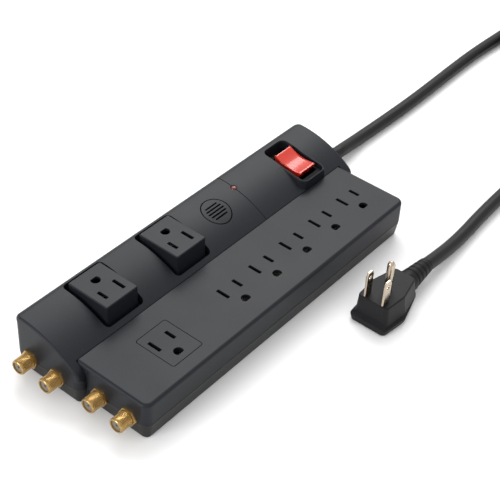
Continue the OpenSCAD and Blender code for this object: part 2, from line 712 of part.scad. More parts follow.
module surge_tubes() color([0.8, 0.8, 0.85]) for (i = [0, 2], s = [0.35, 0.65])
    translate([jack_x[i] + s * (jack_x[i + 1] - jack_x[i]), coax_y(i) + board_t, seam_z])
        rotate([-90, 0, 0]) cylinder(h = 6, d = 5);

// Wires inside, from the strain relief to the switch and to the two bars
wire_r = 1.2;
wire_y = pod_back - wall - 8;
last_y = max(deck_y);
on_bar_z = deck_bar_z + bar_t + wire_r;
module hot_wire() color([0.05, 0.05, 0.05]) {
    x = well_x + 0.9 + wire_r;
    tube([[exit_x - 2.6, wire_y, exit_z - 1.5], [exit_x - 2.6, wire_y - 7, exit_z - 1.5],
        [exit_x - 5, wire_y - 14, exit_z], [x + 2.5, well_y + 3, 9.4], [x, well_y - 1, 9.4]], wire_r, 8);
}
module neutral_wire() color([0.9, 0.9, 0.9]) {
    x = slot_x - 7.5 + bar_w / 2;
    tube([[exit_x, wire_y, exit_z + 2.4], [exit_x, wire_y - 5, exit_z + 2.4], [exit_x + 4, wire_y - 10, exit_z + 1],
        [step_x + 4.5, wire_y - 10.5, exit_z + 0.6], [x - 7, last_y + 7, on_bar_z - 0.4],
        [x - 3, last_y + 3.5, on_bar_z], [x, last_y + 1, on_bar_z]], wire_r, 8);
}
module ground_wire() color([0.1, 0.5, 0.2]) {
    x = slot_x + ground_off + 4.3;
    y = last_y + 13.3;
    tube([[exit_x + 2.6, wire_y, exit_z - 1.5], [exit_x + 2.6, wire_y - 3, exit_z - 1.5], [step_x + 1.5, y, 6],
        [step_x + 10, y, 6], [x - 18, y, 6.5], [x - 8, y, 7.5], [x - 2, y - 1.2, on_bar_z],
        [x, last_y + 7.5, on_bar_z], [x, last_y + 3.5, on_bar_z]], wire_r, 8);
}

// Strain relief: a tapered sleeve outside, a neck in the wall, a collar inside
module strain_relief() color([0.05, 0.05, 0.05]) translate([exit_x, pod_back, exit_z]) rotate([-90, 0, 0]) {
    cylinder(h = relief_l, r1 = cord_d / 2 + 2.2, r2 = cord_d / 2 + 0.4);
    translate([0, 0, -wall - 2]) cylinder(h = wall + 2.5, r = cord_d / 2 + 0.9);
    translate([0, 0, -wall - 8]) cylinder(h = 7, r = cord_d / 2 + 0.4);
}

// Free cord
module cord_lead() color([0.07, 0.07, 0.07]) {
    y = pod_back + relief_l;
    tube(concat([[exit_x, y, exit_z], [exit_x, y + 4, exit_z]], lead_route), cord_d / 2, 12);
}
module cord_tail() color([0.07, 0.07, 0.07]) {
    y = plug_exit_y + plug_relief;
    tube(concat(tail_route, [[plug_x, y + 4, plug_exit_z], [plug_x, y, plug_exit_z]]), cord_d / 2, 12);
}
module cord_coil() color([0.07, 0.07, 0.07]) translate([coil_x, coil_y, 0]) difference() {
    cylinder(h = 2 * cord_d, r = coil_in_r + cord_d / 2, $fn = 96);
    translate([0, 0, -1]) cylinder(h = 2 * cord_d + 2, r = coil_r - cord_d * 1.5, $fn = 96);
}
tie_w = 8;
module coil_tie() color([0.04, 0.04, 0.04]) translate([coil_x, coil_y + coil_r, 0]) {
    t = 0.9;
    half = cord_d * 1.6;
    for (s = [-1, 1]) translate([0, s * (half + t / 2), cord_d + t / 2])
        cube([tie_w, t, 2 * cord_d + t], center = true);
    translate([0, 0, 2 * cord_d + t / 2]) cube([tie_w, 2 * half + 2 * t, t], center = true);
}

// Plug, lying on its back with the blades up
pin_in = 8;
face = [[-10.5, -4], [10.5, -4], [11.8, 13], [7.5, 31], [-7.5, 31], [-11.8, 13]];
back = [[-13, -7], [13, -7], [15, 12], [8, 34], [-8, 34], [-15, 12]];
module plug_place() translate([plug_x, plug_y, 0]) children();
module plug_body() color([0.2, 0.2, 0.22]) plug_place() {
    difference() {
        union() {
            hull() {
                translate([0, 0, 5]) linear_extrude(0.01) polygon([for (p = face) [p[0] * 1.08, p[1] * 1.05]]);
                translate([0, 0, plug_h - 0.01]) linear_extrude(0.01) polygon(face);
            }
            hull() {
                linear_extrude(0.01) polygon([for (p = back) p * 0.94]);
                translate([0, 0, 3.6]) linear_extrude(1) polygon(back);
                translate([0, 0, 7]) linear_extrude(0.01) polygon([for (p = face) [p[0] * 1.08, p[1] * 1.05]]);
            }
            translate([0, 33, plug_exit_z]) rotate([-90, 0, 0])
                cylinder(h = plug_exit_y + plug_relief - plug_y - 33, r1 = cord_d / 2 + 2.6, r2 = cord_d / 2 + 0.4);
        }
        for (x = [-1, 1]) span(x * blade_gap / 2 - 0.75, x * blade_gap / 2 + 0.75, -3.2, 3.2, plug_h - 8, plug_h + 1);
        translate([0, ground_off, plug_h - pin_in]) cylinder(h = pin_in + 1, d = pin_d - 0.9);
    }
}
module plug_blade() {
    t = 1.5;
    w = 6.35;
    translate([t / 2, 0, 0]) rotate([0, -90, 0]) linear_extrude(t) difference() {
        polygon([[-8, -w / 2], [blade_l - 2, -w / 2], [blade_l, -w / 2 + 1.6],
            [blade_l, w / 2 - 1.6], [blade_l - 2, w / 2], [-8, w / 2]]);
        translate([blade_l - 4, 0]) circle(d = 3.2);
    }
}
module plug_hot_blade() color([0.8, 0.75, 0.65]) plug_place() translate([-blade_gap / 2, 0, plug_h]) plug_blade();
module plug_neutral_blade() color([0.8, 0.75, 0.65]) plug_place() translate([blade_gap / 2, 0, plug_h]) plug_blade();
module plug_ground_pin() color([0.8, 0.75, 0.65]) plug_place() translate([0, ground_off, plug_h - pin_in]) {
    cylinder(h = pin_in, d = pin_d - 0.9);
    translate([0, 0, pin_in]) cylinder(h = pin_l - pin_d / 2, d = pin_d);
    translate([0, 0, pin_in + pin_l - pin_d / 2]) sphere(d = pin_d);
}

base_shell();
deck_cover();
pod_cover_front();
pod_cover_rear();
cover_screws();
outlet_block_front();
outlet_block_rear();
outlet_insert();
deck_contact_carrier();
deck_neutral_bar();
deck_hot_bar();
deck_ground_bar();
pod_contact_carrier();
pod_neutral_bar();
pod_hot_bar();
pod_ground_bar();
switch_housing();
rocker();
rocker_lamp();
plunger();
plunger_spring();
contact_arm();
switch_terminals();
power_board();
varistors();
thermal_fuse();
line_capacitor();
line_choke();
alarm_buzzer();
indicator_led();
indicator_lens();
coax_board_left();
coax_board_right();
surge_tubes();
jack_bodies();
jack_nuts();
jack_insulators();
jack_contacts();
hot_wire();
neutral_wire();
ground_wire();
strain_relief();
cord_lead();
cord_coil();
coil_tie();
cord_tail();
plug_body();
plug_hot_blade();
plug_neutral_blade();
plug_ground_pin();
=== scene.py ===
"""Looks of an eight-outlet surge protector strip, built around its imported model."""

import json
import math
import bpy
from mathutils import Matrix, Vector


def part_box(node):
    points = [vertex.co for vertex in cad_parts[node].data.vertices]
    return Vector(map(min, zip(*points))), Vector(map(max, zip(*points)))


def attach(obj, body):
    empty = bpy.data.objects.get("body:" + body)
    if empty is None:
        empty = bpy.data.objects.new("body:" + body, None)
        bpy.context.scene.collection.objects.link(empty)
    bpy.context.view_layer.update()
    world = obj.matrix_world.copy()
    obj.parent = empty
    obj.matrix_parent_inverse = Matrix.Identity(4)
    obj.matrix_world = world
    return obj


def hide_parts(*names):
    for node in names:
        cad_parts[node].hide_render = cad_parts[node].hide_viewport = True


bl_info = {
    "name": "Surge Protector Strip",
    "version": (1, 0, 0),
    "blender": (4, 5, 0),
    "location": "3D View > Sidebar > Strip",
    "description": "Builds the covers, outlets, switch, jacks, cord and plug of a surge protector strip",
    "category": "Add Mesh",
}

from contextlib import contextmanager

import bmesh
import bpy
from bpy.props import FloatProperty, FloatVectorProperty, IntProperty, PointerProperty
from mathutils import Matrix, Vector

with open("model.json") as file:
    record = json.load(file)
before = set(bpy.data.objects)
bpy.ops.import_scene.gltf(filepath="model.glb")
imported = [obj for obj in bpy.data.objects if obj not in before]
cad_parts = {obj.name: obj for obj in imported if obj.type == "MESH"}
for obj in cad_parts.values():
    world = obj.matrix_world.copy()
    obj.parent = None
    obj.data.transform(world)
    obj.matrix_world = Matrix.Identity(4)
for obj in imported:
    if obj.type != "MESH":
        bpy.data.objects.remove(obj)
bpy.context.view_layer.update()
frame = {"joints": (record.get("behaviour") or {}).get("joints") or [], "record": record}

MM = 0.001
STRIP = "strip"

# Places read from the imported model
mounts = {m["name"]: Vector(m["pos_m"]) for m in frame["record"]["mounts"]}
front_lo, front_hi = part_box("pod_cover_front")
rear_lo, rear_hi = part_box("pod_cover_rear")
deck_lo, deck_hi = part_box("deck_cover")
base_lo, base_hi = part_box("base_shell")
well_centre = Vector(next(j["pos_m"] for j in frame["joints"] if j["name"] == "rocker_tilt"))
step_x = deck_lo.x - 0.15 * MM
wall = 2.2 * MM
gap = 0.15 * MM

# The arch of the tall half
crest_z = front_hi.z
arch_radius = 68.5 * MM
crest_x = front_lo.x + 5 * MM
arch_z0 = crest_z - arch_radius
curl_radius = 10 * MM
curl_x = front_hi.x - curl_radius
curl_z = arch_z0 + math.sqrt((arch_radius - curl_radius) ** 2 - (curl_x - crest_x) ** 2)
curl_turn = math.atan2(curl_z - arch_z0, curl_x - crest_x)

# Outlets
BLADE_HALF_GAP = 6.35 * MM
GROUND_OFFSET = 11.9 * MM
DECK_OUTLETS = [mounts[f"deck_outlet_{i}"] for i in range(1, 7)]
BLOCK_OUTLETS = [mounts[f"block_outlet_{i}"] for i in (1, 2)]
JACKS = [mounts[f"coax_jack_{i}"] for i in (1, 2, 3, 4)]

# Cord: the same points as the model's, in millimetres
LEAD_ROUTE = [
    (-28, 130.25, 8), (-28, 142, 8), (-28, 154.25, 8), (-28, 158.25, 8),
    (-28.7, 168, 6.6), (-29.4, 185, 4.9), (-29.1, 205, 4.5), (-28.6, 228, 4.5), (-28.5, 250, 4.5),
    (-28.8, 270, 4.5), (-29.3, 290, 4.5), (-29.8, 310, 4.5), (-30, 330, 4.5),
    (-29.6, 350, 4.5), (-28.7, 370, 4.5), (-28, 386, 4.5),
]
TAIL_ROUTE = [
    (96, 386, 6.8), (95.6, 366, 4.8), (94, 346, 4.5), (91.5, 326, 4.5), (88.5, 306, 4.5),
    (85.5, 286, 4.5), (82, 266, 4.5), (79.5, 246, 4.5), (78.5, 226, 4.5),
    (78.5, 206, 4.5), (79, 186, 4.5), (80, 166, 4.5), (81.5, 146, 4.6), (82.5, 128, 5.6),
    (83, 110, 7.8), (83, 95, 9.5), (83, 91, 9.5), (83, 78, 9.5),
]
COIL_CENTRE = Vector((34, 408, 0)) * MM
EXIT_AT = Vector(LEAD_ROUTE[0]) * MM
PLUG_AT = Vector((83, 43, 0)) * MM
PLUG_FACE_Z = 19 * MM


class StripSizes(bpy.types.PropertyGroup):
    """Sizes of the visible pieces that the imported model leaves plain"""

    cord_diameter: FloatProperty(
        name="Cord diameter", description="Diameter of the mains cord",
        default=9 * MM, min=4 * MM, unit="LENGTH")
    cord_length: FloatProperty(
        name="Cord length", description="Length of the mains cord from the strip to the plug",
        default=1.8, min=0.5, unit="LENGTH")
    edge_radius: FloatProperty(
        name="Flat half edge", description="Rounding of the flat half's upper edges",
        default=2.2 * MM, min=0.2 * MM, unit="LENGTH")
    end_radius: FloatProperty(
        name="Arch end edge", description="Rounding where the arch meets its end faces",
        default=1.3 * MM, min=0.2 * MM, unit="LENGTH")
    corner_radius: FloatProperty(
        name="Corner", description="Rounding of the upright corners",
        default=5 * MM, min=1 * MM, unit="LENGTH")
    slot_edge: FloatProperty(
        name="Slot edge", description="Small rounding round slots and openings",
        default=0.3 * MM, min=0.05 * MM, unit="LENGTH")
    thread_pitch: FloatProperty(
        name="Thread pitch", description="Pitch of the coaxial jacks' thread",
        default=0.79 * MM, min=0.4 * MM, unit="LENGTH")
    arch_steps: IntProperty(
        name="Arch steps", description="Strips across the arch", default=40, min=12)


class StripColours(bpy.types.PropertyGroup):
    """Colours of the strip's finishes"""

    cover: FloatVectorProperty(
        name="Cover", description="Moulded covers", subtype="COLOR", size=3,
        default=(0.0092, 0.0106, 0.0140), min=0, max=1)
    base: FloatVectorProperty(
        name="Base", description="Moulded base", subtype="COLOR", size=3,
        default=(0.0110, 0.0112, 0.0110), min=0, max=1)
    rocker: FloatVectorProperty(
        name="Rocker", description="Translucent rocker", subtype="COLOR", size=3,
        default=(0.52, 0.024, 0.009), min=0, max=1)
    cord: FloatVectorProperty(
        name="Cord", description="Cord and plug", subtype="COLOR", size=3,
        default=(0.0055, 0.0055, 0.0060), min=0, max=1)
    gold: FloatVectorProperty(
        name="Gold", description="Jack plating", subtype="COLOR", size=3,
        default=(0.44, 0.29, 0.11), min=0, max=1)


# ---------------------------------------------------------------- outlines and meshes

def arc_points(centre, radius, start, end, steps):
    """Points on an arc, angles in radians."""
    return [
        (centre[0] + radius * math.cos(start + (end - start) * i / steps),
         centre[1] + radius * math.sin(start + (end - start) * i / steps))
        for i in range(steps + 1)
    ]


def outline(corners, radii, inset=0.0, shares=None, steps=6):
    """Counter-clockwise outline with round corners, drawn in by inset.

    shares scales the inset of each edge.
    """
    count = len(corners)
    shares = shares or [1.0] * count
    lines = []
    for i in range(count):
        a, b = Vector(corners[i]), Vector(corners[(i + 1) % count])
        along = (b - a).normalized()
        inward = Vector((-along.y, along.x))
        lines.append((a + inward * inset * shares[i], along))
    points = []
    for i in range(count):
        (p, d), (q, e) = lines[i - 1], lines[i]
        cross = d.x * e.y - d.y * e.x
        t = ((q.x - p.x) * e.y - (q.y - p.y) * e.x) / cross
        corner = p + d * t
        convex = cross > 0
        radius = max(radii[i] - inset if convex else radii[i] + inset, 0.05 * MM)
        reach = radius * math.tan(math.acos(max(-1, min(1, d.dot(e)))) / 2)
        side = 1 if convex else -1
        start = corner - d * reach
        centre = start + Vector((-d.y, d.x)) * radius * side
        a0 = math.atan2(start.y - centre.y, start.x - centre.x)
        turn = math.acos(max(-1, min(1, d.dot(e)))) * side
        points += arc_points(centre, radius, a0, a0 + turn, steps)
    return points


def rectangle(x0, y0, x1, y1):
    return [(x0, y0), (x1, y0), (x1, y1), (x0, y1)]


def centred(x, y, half_x, half_y):
    """Rectangle round a middle."""
    return rectangle(x - half_x, y - half_y, x + half_x, y + half_y)


def in_scene(name, data):
    """New object of the scene, for a mesh, a curve, a light or a camera."""
    obj = bpy.data.objects.new(name, data)
    bpy.context.scene.collection.objects.link(obj)
    return obj


def discard(obj):
    """Removes an object and its mesh."""
    mesh = obj.data
    bpy.data.objects.remove(obj)
    bpy.data.meshes.remove(mesh)


@contextmanager
def editing(obj):
    """The mesh of obj for editing, written back at the end."""
    bm = bmesh.new()
    bm.from_mesh(obj.data)
    yield bm
    bm.to_mesh(obj.data)
    bm.free()


def mesh_object(name, bm):
    """Object from a bmesh, with its faces turned outwards."""
    bmesh.ops.recalc_face_normals(bm, faces=bm.faces[:])
    mesh = bpy.data.meshes.new(name)
    bm.to_mesh(mesh)
    bm.free()
    return in_scene(name, mesh)


def loft(name, rings, capped=True, closed=False):
    """Skin through rings of equally many points. closed joins the last ring to the first."""
    bm = bmesh.new()
    loops = [[bm.verts.new(p) for p in ring] for ring in rings]
    pairs = list(zip(loops, loops[1:]))
    if closed:
        pairs.append((loops[-1], loops[0]))
    count = len(loops[0])
    for lower, upper in pairs:
        for k in range(count):
            n = (k + 1) % count
            bm.faces.new((lower[k], lower[n], upper[n], upper[k]))
    if capped and not closed:
        bm.faces.new(loops[0][::-1])
        bm.faces.new(loops[-1])
    return mesh_object(name, bm)


def prism(name, points, z0, z1):
    """Straight solid over a flat outline."""
    return loft(name, [[(x, y, z) for x, y in points] for z in (z0, z1)])


def block(name, lo, hi):
    """Rectangular cutter between two corners."""
    return prism(name, rectangle(lo[0], lo[1], hi[0], hi[1]), lo[2], hi[2])


def lathe(name, profile, steps=64, axis="Z"):
    """Solid turned from (radius, height) points, a closed profile loop or one that ends on the axis."""
    rings = [
        [(r * math.cos(2 * math.pi * k / steps), r * math.sin(2 * math.pi * k / steps), h)
         for k in range(steps)]
        for r, h in profile
    ]
    obj = loft(name, rings)
    if axis == "Y":
        obj.data.transform(Matrix.Rotation(math.radians(90), 4, "X"))
    return obj


def rod(name, radius, low, high, steps=32, axis="Z"):
    """Straight round bar or cutter."""
    return lathe(name, [(radius, low), (radius, high)], steps, axis)


def ring_solid(name, profile, steps=64):
    """Ring turned from a closed loop of (radius, height) points."""
    rings = [
        [(r * math.cos(2 * math.pi * k / steps), r * math.sin(2 * math.pi * k / steps), h)
         for r, h in profile]
        for k in range(steps)
    ]
    return loft(name, rings, closed=True)


def place(obj, at):
    obj.data.transform(Matrix.Translation(at))
    return obj


def applied(obj):
    """Turns an object's modifiers into mesh."""
    graph = bpy.context.evaluated_depsgraph_get()
    mesh = bpy.data.meshes.new_from_object(obj.evaluated_get(graph))
    old = obj.data
    obj.modifiers.clear()
    obj.data = mesh
    bpy.data.meshes.remove(old)
    return obj


def join(name, objects):
    """One object holding copies of several, which are removed."""
    bm = bmesh.new()
    for obj in objects:
        bm.from_mesh(obj.data)
        discard(obj)
    return mesh_object(name, bm)


def combine(obj, others, operation="DIFFERENCE"):
    """Carves the others out of obj, or adds or keeps them, and removes them."""
    tool = join(obj.name + "_tool", others) if len(others) > 1 else others[0]
    change = obj.modifiers.new("Combine", "BOOLEAN")
    change.object = tool
    change.operation = operation
    change.solver = "EXACT"
    applied(obj)
    discard(tool)
    return obj


def soften(obj, width, steps=2, angle=32, merge=True):
    """Rounds the sharp edges of obj and smooths its shading."""
    with editing(obj) as bm:
        bmesh.ops.remove_doubles(bm, verts=bm.verts[:], dist=0.005 * MM)
        if merge:
            bmesh.ops.dissolve_limit(bm, angle_limit=math.radians(0.05), verts=bm.verts[:], edges=bm.edges[:])
    if width > 0:
        edge = obj.modifiers.new("Edge", "BEVEL")
        edge.width = width
        edge.segments = steps
        edge.limit_method = "ANGLE"
        edge.angle_limit = math.radians(angle)
        edge.use_clamp_overlap = False
        edge.miter_outer = "MITER_ARC"
        applied(obj)
    return smooth(without_scraps(obj))


def without_scraps(obj):
    """Closes up slivers and removes loose scraps of a few faces, which carving leaves."""
    smallest = 6
    with editing(obj) as bm:
        bmesh.ops.remove_doubles(bm, verts=bm.verts[:], dist=0.008 * MM)
        bmesh.ops.dissolve_degenerate(bm, dist=0.004 * MM, edges=bm.edges[:])
        left = set(bm.faces)
        scraps = []
        while left:
            first = left.pop()
            island, front = [first], [first]
            while front:
                for edge in front.pop().edges:
                    for face in edge.link_faces if len(edge.link_faces) == 2 else ():
                        if face in left:
                            left.remove(face)
                            island.append(face)
                            front.append(face)
            if len(island) < smallest:
                scraps += island
        bmesh.ops.delete(bm, geom=scraps, context="FACES")
    return obj


def smooth(obj, angle=42):
    for face in obj.data.polygons:
        face.use_smooth = True
    obj.data.set_sharp_from_angle(angle=math.radians(angle))
    weigh = obj.modifiers.new("Shading", "WEIGHTED_NORMAL")
    weigh.keep_sharp = True
    weigh.weight = 90
    return obj


def finish_piece(obj, material, body=STRIP, stands_for=()):
    """Gives a finished piece its material, its body and the model nodes it stands for."""
    obj.data.materials.clear()
    obj.data.materials.append(material)
    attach(obj, body)
    if stands_for:
        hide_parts(*stands_for)
    return obj


# ---------------------------------------------------------------- materials

def add_node(tree, kind, inputs=(), **settings):
    """New shader node. Each of its inputs is given a value, or the socket that feeds it."""
    node = tree.nodes.new("ShaderNode" + kind)
    for key, value in settings.items():
        setattr(node, key, value)
    for key, value in dict(inputs).items():
        if isinstance(value, bpy.types.NodeSocket):
            tree.links.new(value, node.inputs[key])
        else:
            node.inputs[key].default_value = value
    return node


def noise(tree, at, scale, detail):
    return add_node(tree, "TexNoise", {"Vector": at, "Scale": scale, "Detail": detail}).outputs["Fac"]


def maths(tree, operation, *terms):
    return add_node(tree, "Math", enumerate(terms), operation=operation).outputs[0]


def surface_group(name, values):
    """Node group with these inputs, and with a surface's outputs still to be fed by close_group."""
    group = bpy.data.node_groups.new(name, "ShaderNodeTree")
    for key, value in values.items():
        kind = "NodeSocketColor" if isinstance(value, tuple) else "NodeSocketFloat"
        group.interface.new_socket(name=key, in_out="INPUT", socket_type=kind).default_value = value
    for key, kind in (("Colour", "Color"), ("Roughness", "Float"), ("Normal", "Vector")):
        group.interface.new_socket(name=key, in_out="OUTPUT", socket_type="NodeSocket" + kind)
    given = group.nodes.new("NodeGroupInput").outputs
    return group, given, add_node(group, "TexCoord").outputs["Object"]


def close_group(group, colour, roughness, bump):
    """Feeds the outputs of a surface's node group."""
    result = group.nodes.new("NodeGroupOutput").inputs
    group.links.new(colour.outputs["Result"], result["Colour"])
    group.links.new(roughness, result["Roughness"])
    group.links.new(bump.outputs["Normal"], result["Normal"])
    return group


def moulded_grain():
    """Node group for moulded surfaces: fine grain, faint smudges and dust."""
    name = "Moulded Grain"
    if name in bpy.data.node_groups:
        return bpy.data.node_groups[name]
    group, given, at = surface_group(name, {
        "Colour": (0.02, 0.02, 0.02, 1), "Roughness": 0.4, "Grain Scale": 2600.0,
        "Grain Strength": 0.12, "Smudge": 0.08})
    fine = noise(group, at, given["Grain Scale"], 3)
    broad = noise(group, at, 38, 5)
    speck = noise(group, at, 620, 2)
    patchy = maths(group, "SUBTRACT", broad, 0.5)
    smudged = maths(group, "MULTIPLY_ADD", patchy, given["Smudge"], given["Roughness"])
    dust = add_node(group, "MapRange", {
        "Value": speck, "From Min": 0.62, "From Max": 0.80, "To Max": 0.08})
    tint = add_node(group, "Mix", {
        "Factor": dust.outputs[0], "A": given["Colour"], "B": (0.09, 0.09, 0.09, 1)}, data_type="RGBA")
    bump = add_node(group, "Bump", {
        "Strength": given["Grain Strength"], "Distance": 0.05 * MM, "Height": fine})
    return close_group(group, tint, maths(group, "MULTIPLY_ADD", fine, 0.06, smudged), bump)


def worn_metal():
    """Node group for plated metal: fine drawing lines, tarnish patches."""
    name = "Worn Metal"
    if name in bpy.data.node_groups:
        return bpy.data.node_groups[name]
    group, given, at = surface_group(name, {
        "Colour": (0.7, 0.7, 0.7, 1), "Tarnish": (0.3, 0.2, 0.1, 1), "Roughness": 0.25, "Line Scale": 900.0})
    share = add_node(group, "MapRange", {
        "Value": noise(group, at, 160, 6), "From Min": 0.45, "From Max": 0.75, "To Max": 0.22}).outputs[0]
    tint = add_node(group, "Mix", {
        "Factor": share, "A": given["Colour"], "B": given["Tarnish"]}, data_type="RGBA")
    bump = add_node(group, "Bump", {
        "Strength": 0.03, "Distance": 0.04 * MM, "Height": noise(group, at, given["Line Scale"], 2)})
    return close_group(group, tint, maths(group, "MULTIPLY_ADD", share, 0.22, given["Roughness"]), bump)


def new_material(name):
    """Empty material with its shader, or None and the existing one."""
    if name in bpy.data.materials:
        return bpy.data.materials[name], None
    material = bpy.data.materials.new(name)
    material.use_nodes = True
    return material, material.node_tree.nodes["Principled BSDF"]


def grouped(name, group, values, shader_values):
    """Material whose shader is fed by a node group, made once for each name."""
    material, shader = new_material(name)
    if shader is None:
        return material
    for key, value in shader_values.items():
        shader.inputs[key].default_value = value
    tree = material.node_tree
    node = add_node(tree, "Group", values, node_tree=group)
    for key, into in (("Colour", "Base Color"), ("Roughness", "Roughness"), ("Normal", "Normal")):
        tree.links.new(node.outputs[key], shader.inputs[into])
    return material


def plastic(name, colour, roughness=0.42, gloss=0.22, grain=0.12, scale=2600.0):
    """Moulded plastic or rubber."""
    return grouped(name, moulded_grain(), {
        "Colour": (*colour, 1), "Roughness": roughness, "Grain Scale": scale,
        "Grain Strength": grain, "Smudge": 0.08}, {"Specular IOR Level": gloss})


def metal(name, colour, tarnish, roughness):
    """Plated or bare metal."""
    return grouped(name, worn_metal(), {
        "Colour": (*colour, 1), "Tarnish": (*tarnish, 1), "Roughness": roughness,
        "Line Scale": 900.0}, {"Metallic": 1.0})


def lens(name, colour, glow=0.0, roughness=0.08):
    """Clear coloured plastic of the rocker and the indicator."""
    return grouped(name, moulded_grain(), {
        "Colour": (*colour, 1), "Roughness": roughness, "Grain Scale": 900.0,
        "Grain Strength": 0.03, "Smudge": 0.05}, {
            "Coat Weight": 0.25, "Coat Roughness": 0.05, "Subsurface Weight": 0.2,
            "Subsurface Radius": (0.004, 0.0006, 0.0004),
            "Emission Strength": glow, "Emission Color": (*colour, 1)})


def colours():
    return bpy.context.scene.strip_colours


def sizes():
    return bpy.context.scene.strip_sizes


def cover_plastic():
    return plastic("Cover Plastic", colours().cover)


def base_plastic():
    return plastic("Base Plastic", colours().base, roughness=0.38)


def switch_plastic():
    return plastic("Switch Black", (0.004, 0.004, 0.005), roughness=0.5, gloss=0.08, grain=0.04)


def cord_plastic():
    return plastic("Cord Jacket", colours().cord, roughness=0.42, gloss=0.25, grain=0.2, scale=1400.0)


def plug_plastic():
    return plastic("Plug Plastic", (0.0078, 0.0080, 0.0092),
                   roughness=0.45, gloss=0.16, grain=0.25, scale=1500.0)


def jack_gold():
    return metal("Jack Gold", colours().gold, (0.4, 0.24, 0.08), roughness=0.24)


def contact_brass():
    return metal("Contact Brass", (0.78, 0.62, 0.36), (0.4, 0.25, 0.1), roughness=0.28)


def blade_nickel():
    return metal("Blade Nickel", (0.50, 0.42, 0.33), (0.3, 0.22, 0.15), roughness=0.2)


# ---------------------------------------------------------------- cord and plug

COIL_IN = 62 * MM
COIL_TURNS = 3.5
TURN_STEPS = 20


def coil_route():
    """Centreline of the wound cord: a layer that winds in, a climb and a layer that winds out."""
    d = sizes().cord_diameter
    half = COIL_TURNS / 2
    pitch = d * 1.015
    route = []
    for i in range(int(COIL_TURNS * TURN_STEPS) + 1):
        turn = i / TURN_STEPS
        radius = COIL_IN - pitch * min(turn, half) + pitch * max(turn - half, 0)
        climb = min(max((turn - half + 0.13) / 0.4, 0), 1)
        height = d / 2 + d * climb * climb * (3 - 2 * climb)
        leave = min(max((turn - COIL_TURNS + 0.3) / 0.3, 0), 1)
        angle = math.pi - 2 * math.pi * turn
        along = Vector((radius * math.cos(angle), radius * math.sin(angle), height - 0.9 * MM * leave ** 2))
        route.append(COIL_CENTRE + along)
    return route


def cord_route():
    """The whole cord's centreline from the housing to the plug, in metres."""
    return [Vector(p) * MM for p in LEAD_ROUTE] + coil_route() + [Vector(p) * MM for p in TAIL_ROUTE]


class STRIP_OT_cord(bpy.types.Operator):
    """Lays the mains cord in one run from the strip, through its coil, to the plug"""
    bl_idname = "strip.cord"
    bl_label = "Cord"

    def execute(self, context):
        route = cord_route()
        line = bpy.data.curves.new("mains_cord", "CURVE")
        line.dimensions = "3D"
        line.resolution_u = 6
        line.bevel_depth = sizes().cord_diameter / 2
        line.bevel_resolution = 6
        line.use_fill_caps = True
        spline = line.splines.new("BEZIER")
        spline.bezier_points.add(len(route) - 1)
        for knot, point in zip(spline.bezier_points, route):
            knot.co = point
            knot.handle_left_type = knot.handle_right_type = "AUTO"
        cord = in_scene("mains_cord", line)
        finish_piece(cord, cord_plastic(),
                     stands_for=("cord_lead", "cord_coil", "cord_tail"))
        return {"FINISHED"}


class STRIP_OT_camera(bpy.types.Operator):
    """Sets the camera"""
    bl_idname = "strip.camera"
    bl_label = "Camera"

    def execute(self, context):
        data = bpy.data.cameras.new("camera")
        data.lens = 91.27
        data.sensor_width = 36
        camera = in_scene("camera", data)
        camera.location = (0.35523, -0.43747, 0.52121)
        camera.rotation_euler = [math.radians(a) for a in (49.254, -2.604, 39.627)]
        context.scene.camera = camera
        return {"FINISHED"}


# ---------------------------------------------------------------- tall half

def arch_section(inset, foot):
    """Section of the tall half: (x, z, normal x, normal z, share of the big corner) from foot to foot."""
    corner = sizes().corner_radius
    left = base_lo.x
    steps = sizes().arch_steps
    section = [(left, foot, -1, 0, 1.0), (left, (foot + crest_z) / 2, -1, 0, 1.0)]

    def arc(cx, cz, radius, start, end, count, share):
        for i in range(count + 1):
            angle = start + (end - start) * i / count
            section.append((cx + radius * math.cos(angle), cz + radius * math.sin(angle),
                            math.cos(angle), math.sin(angle), share(i / count)))

    arc(crest_x, crest_z - corner, corner, math.pi, math.pi / 2 + 0.08, 8, lambda t: 1 - t * 0.9)
    arc(crest_x, arch_z0, arch_radius, math.pi / 2, curl_turn + 0.03, steps, lambda t: 0.0)
    arc(curl_x, curl_z, curl_radius, curl_turn, 0, 12, lambda t: t * t)
    section += [(front_hi.x, (foot + curl_z) / 2, 1, 0, 1.0), (front_hi.x, foot, 1, 0, 1.0)]
    return [(x - nx * inset, z - nz * inset, nx, nz, share) for x, z, nx, nz, share in section]


def pod_solid(name, inset, foot, y0, y1, round0=True, round1=True):
    """The tall half's shape between two places along Y, with rounded or plain ends."""
    section = arch_section(inset, foot)
    small, big = sizes().end_radius, sizes().corner_radius
    turns = 8

    def ring(y, inward, t, rounded):
        points = []
        for x, z, nx, nz, share in section:
            radius = max(small + (big - small) * share - inset * share, 0.3 * MM) if rounded else 0.35 * MM
            depth = radius * (1 - math.cos(t))
            points.append((x - nx * depth, y + inward * radius * (1 - math.sin(t)), z - nz * depth))
        return points

    rings = [ring(y0, 1, math.pi / 2 * (1 - i / turns), round0) for i in range(turns + 1)]
    stations = max(int((y1 - y0) / (10 * MM)), 2)
    start, end = rings[-1], ring(y1, -1, 0, round1)
    for k in range(1, stations):
        rings.append([tuple(a + (b - a) * k / stations for a, b in zip(p, q)) for p, q in zip(start, end)])
    rings += [ring(y1, -1, math.pi / 2 * i / turns, round1) for i in range(turns + 1)]
    return loft(name, rings)


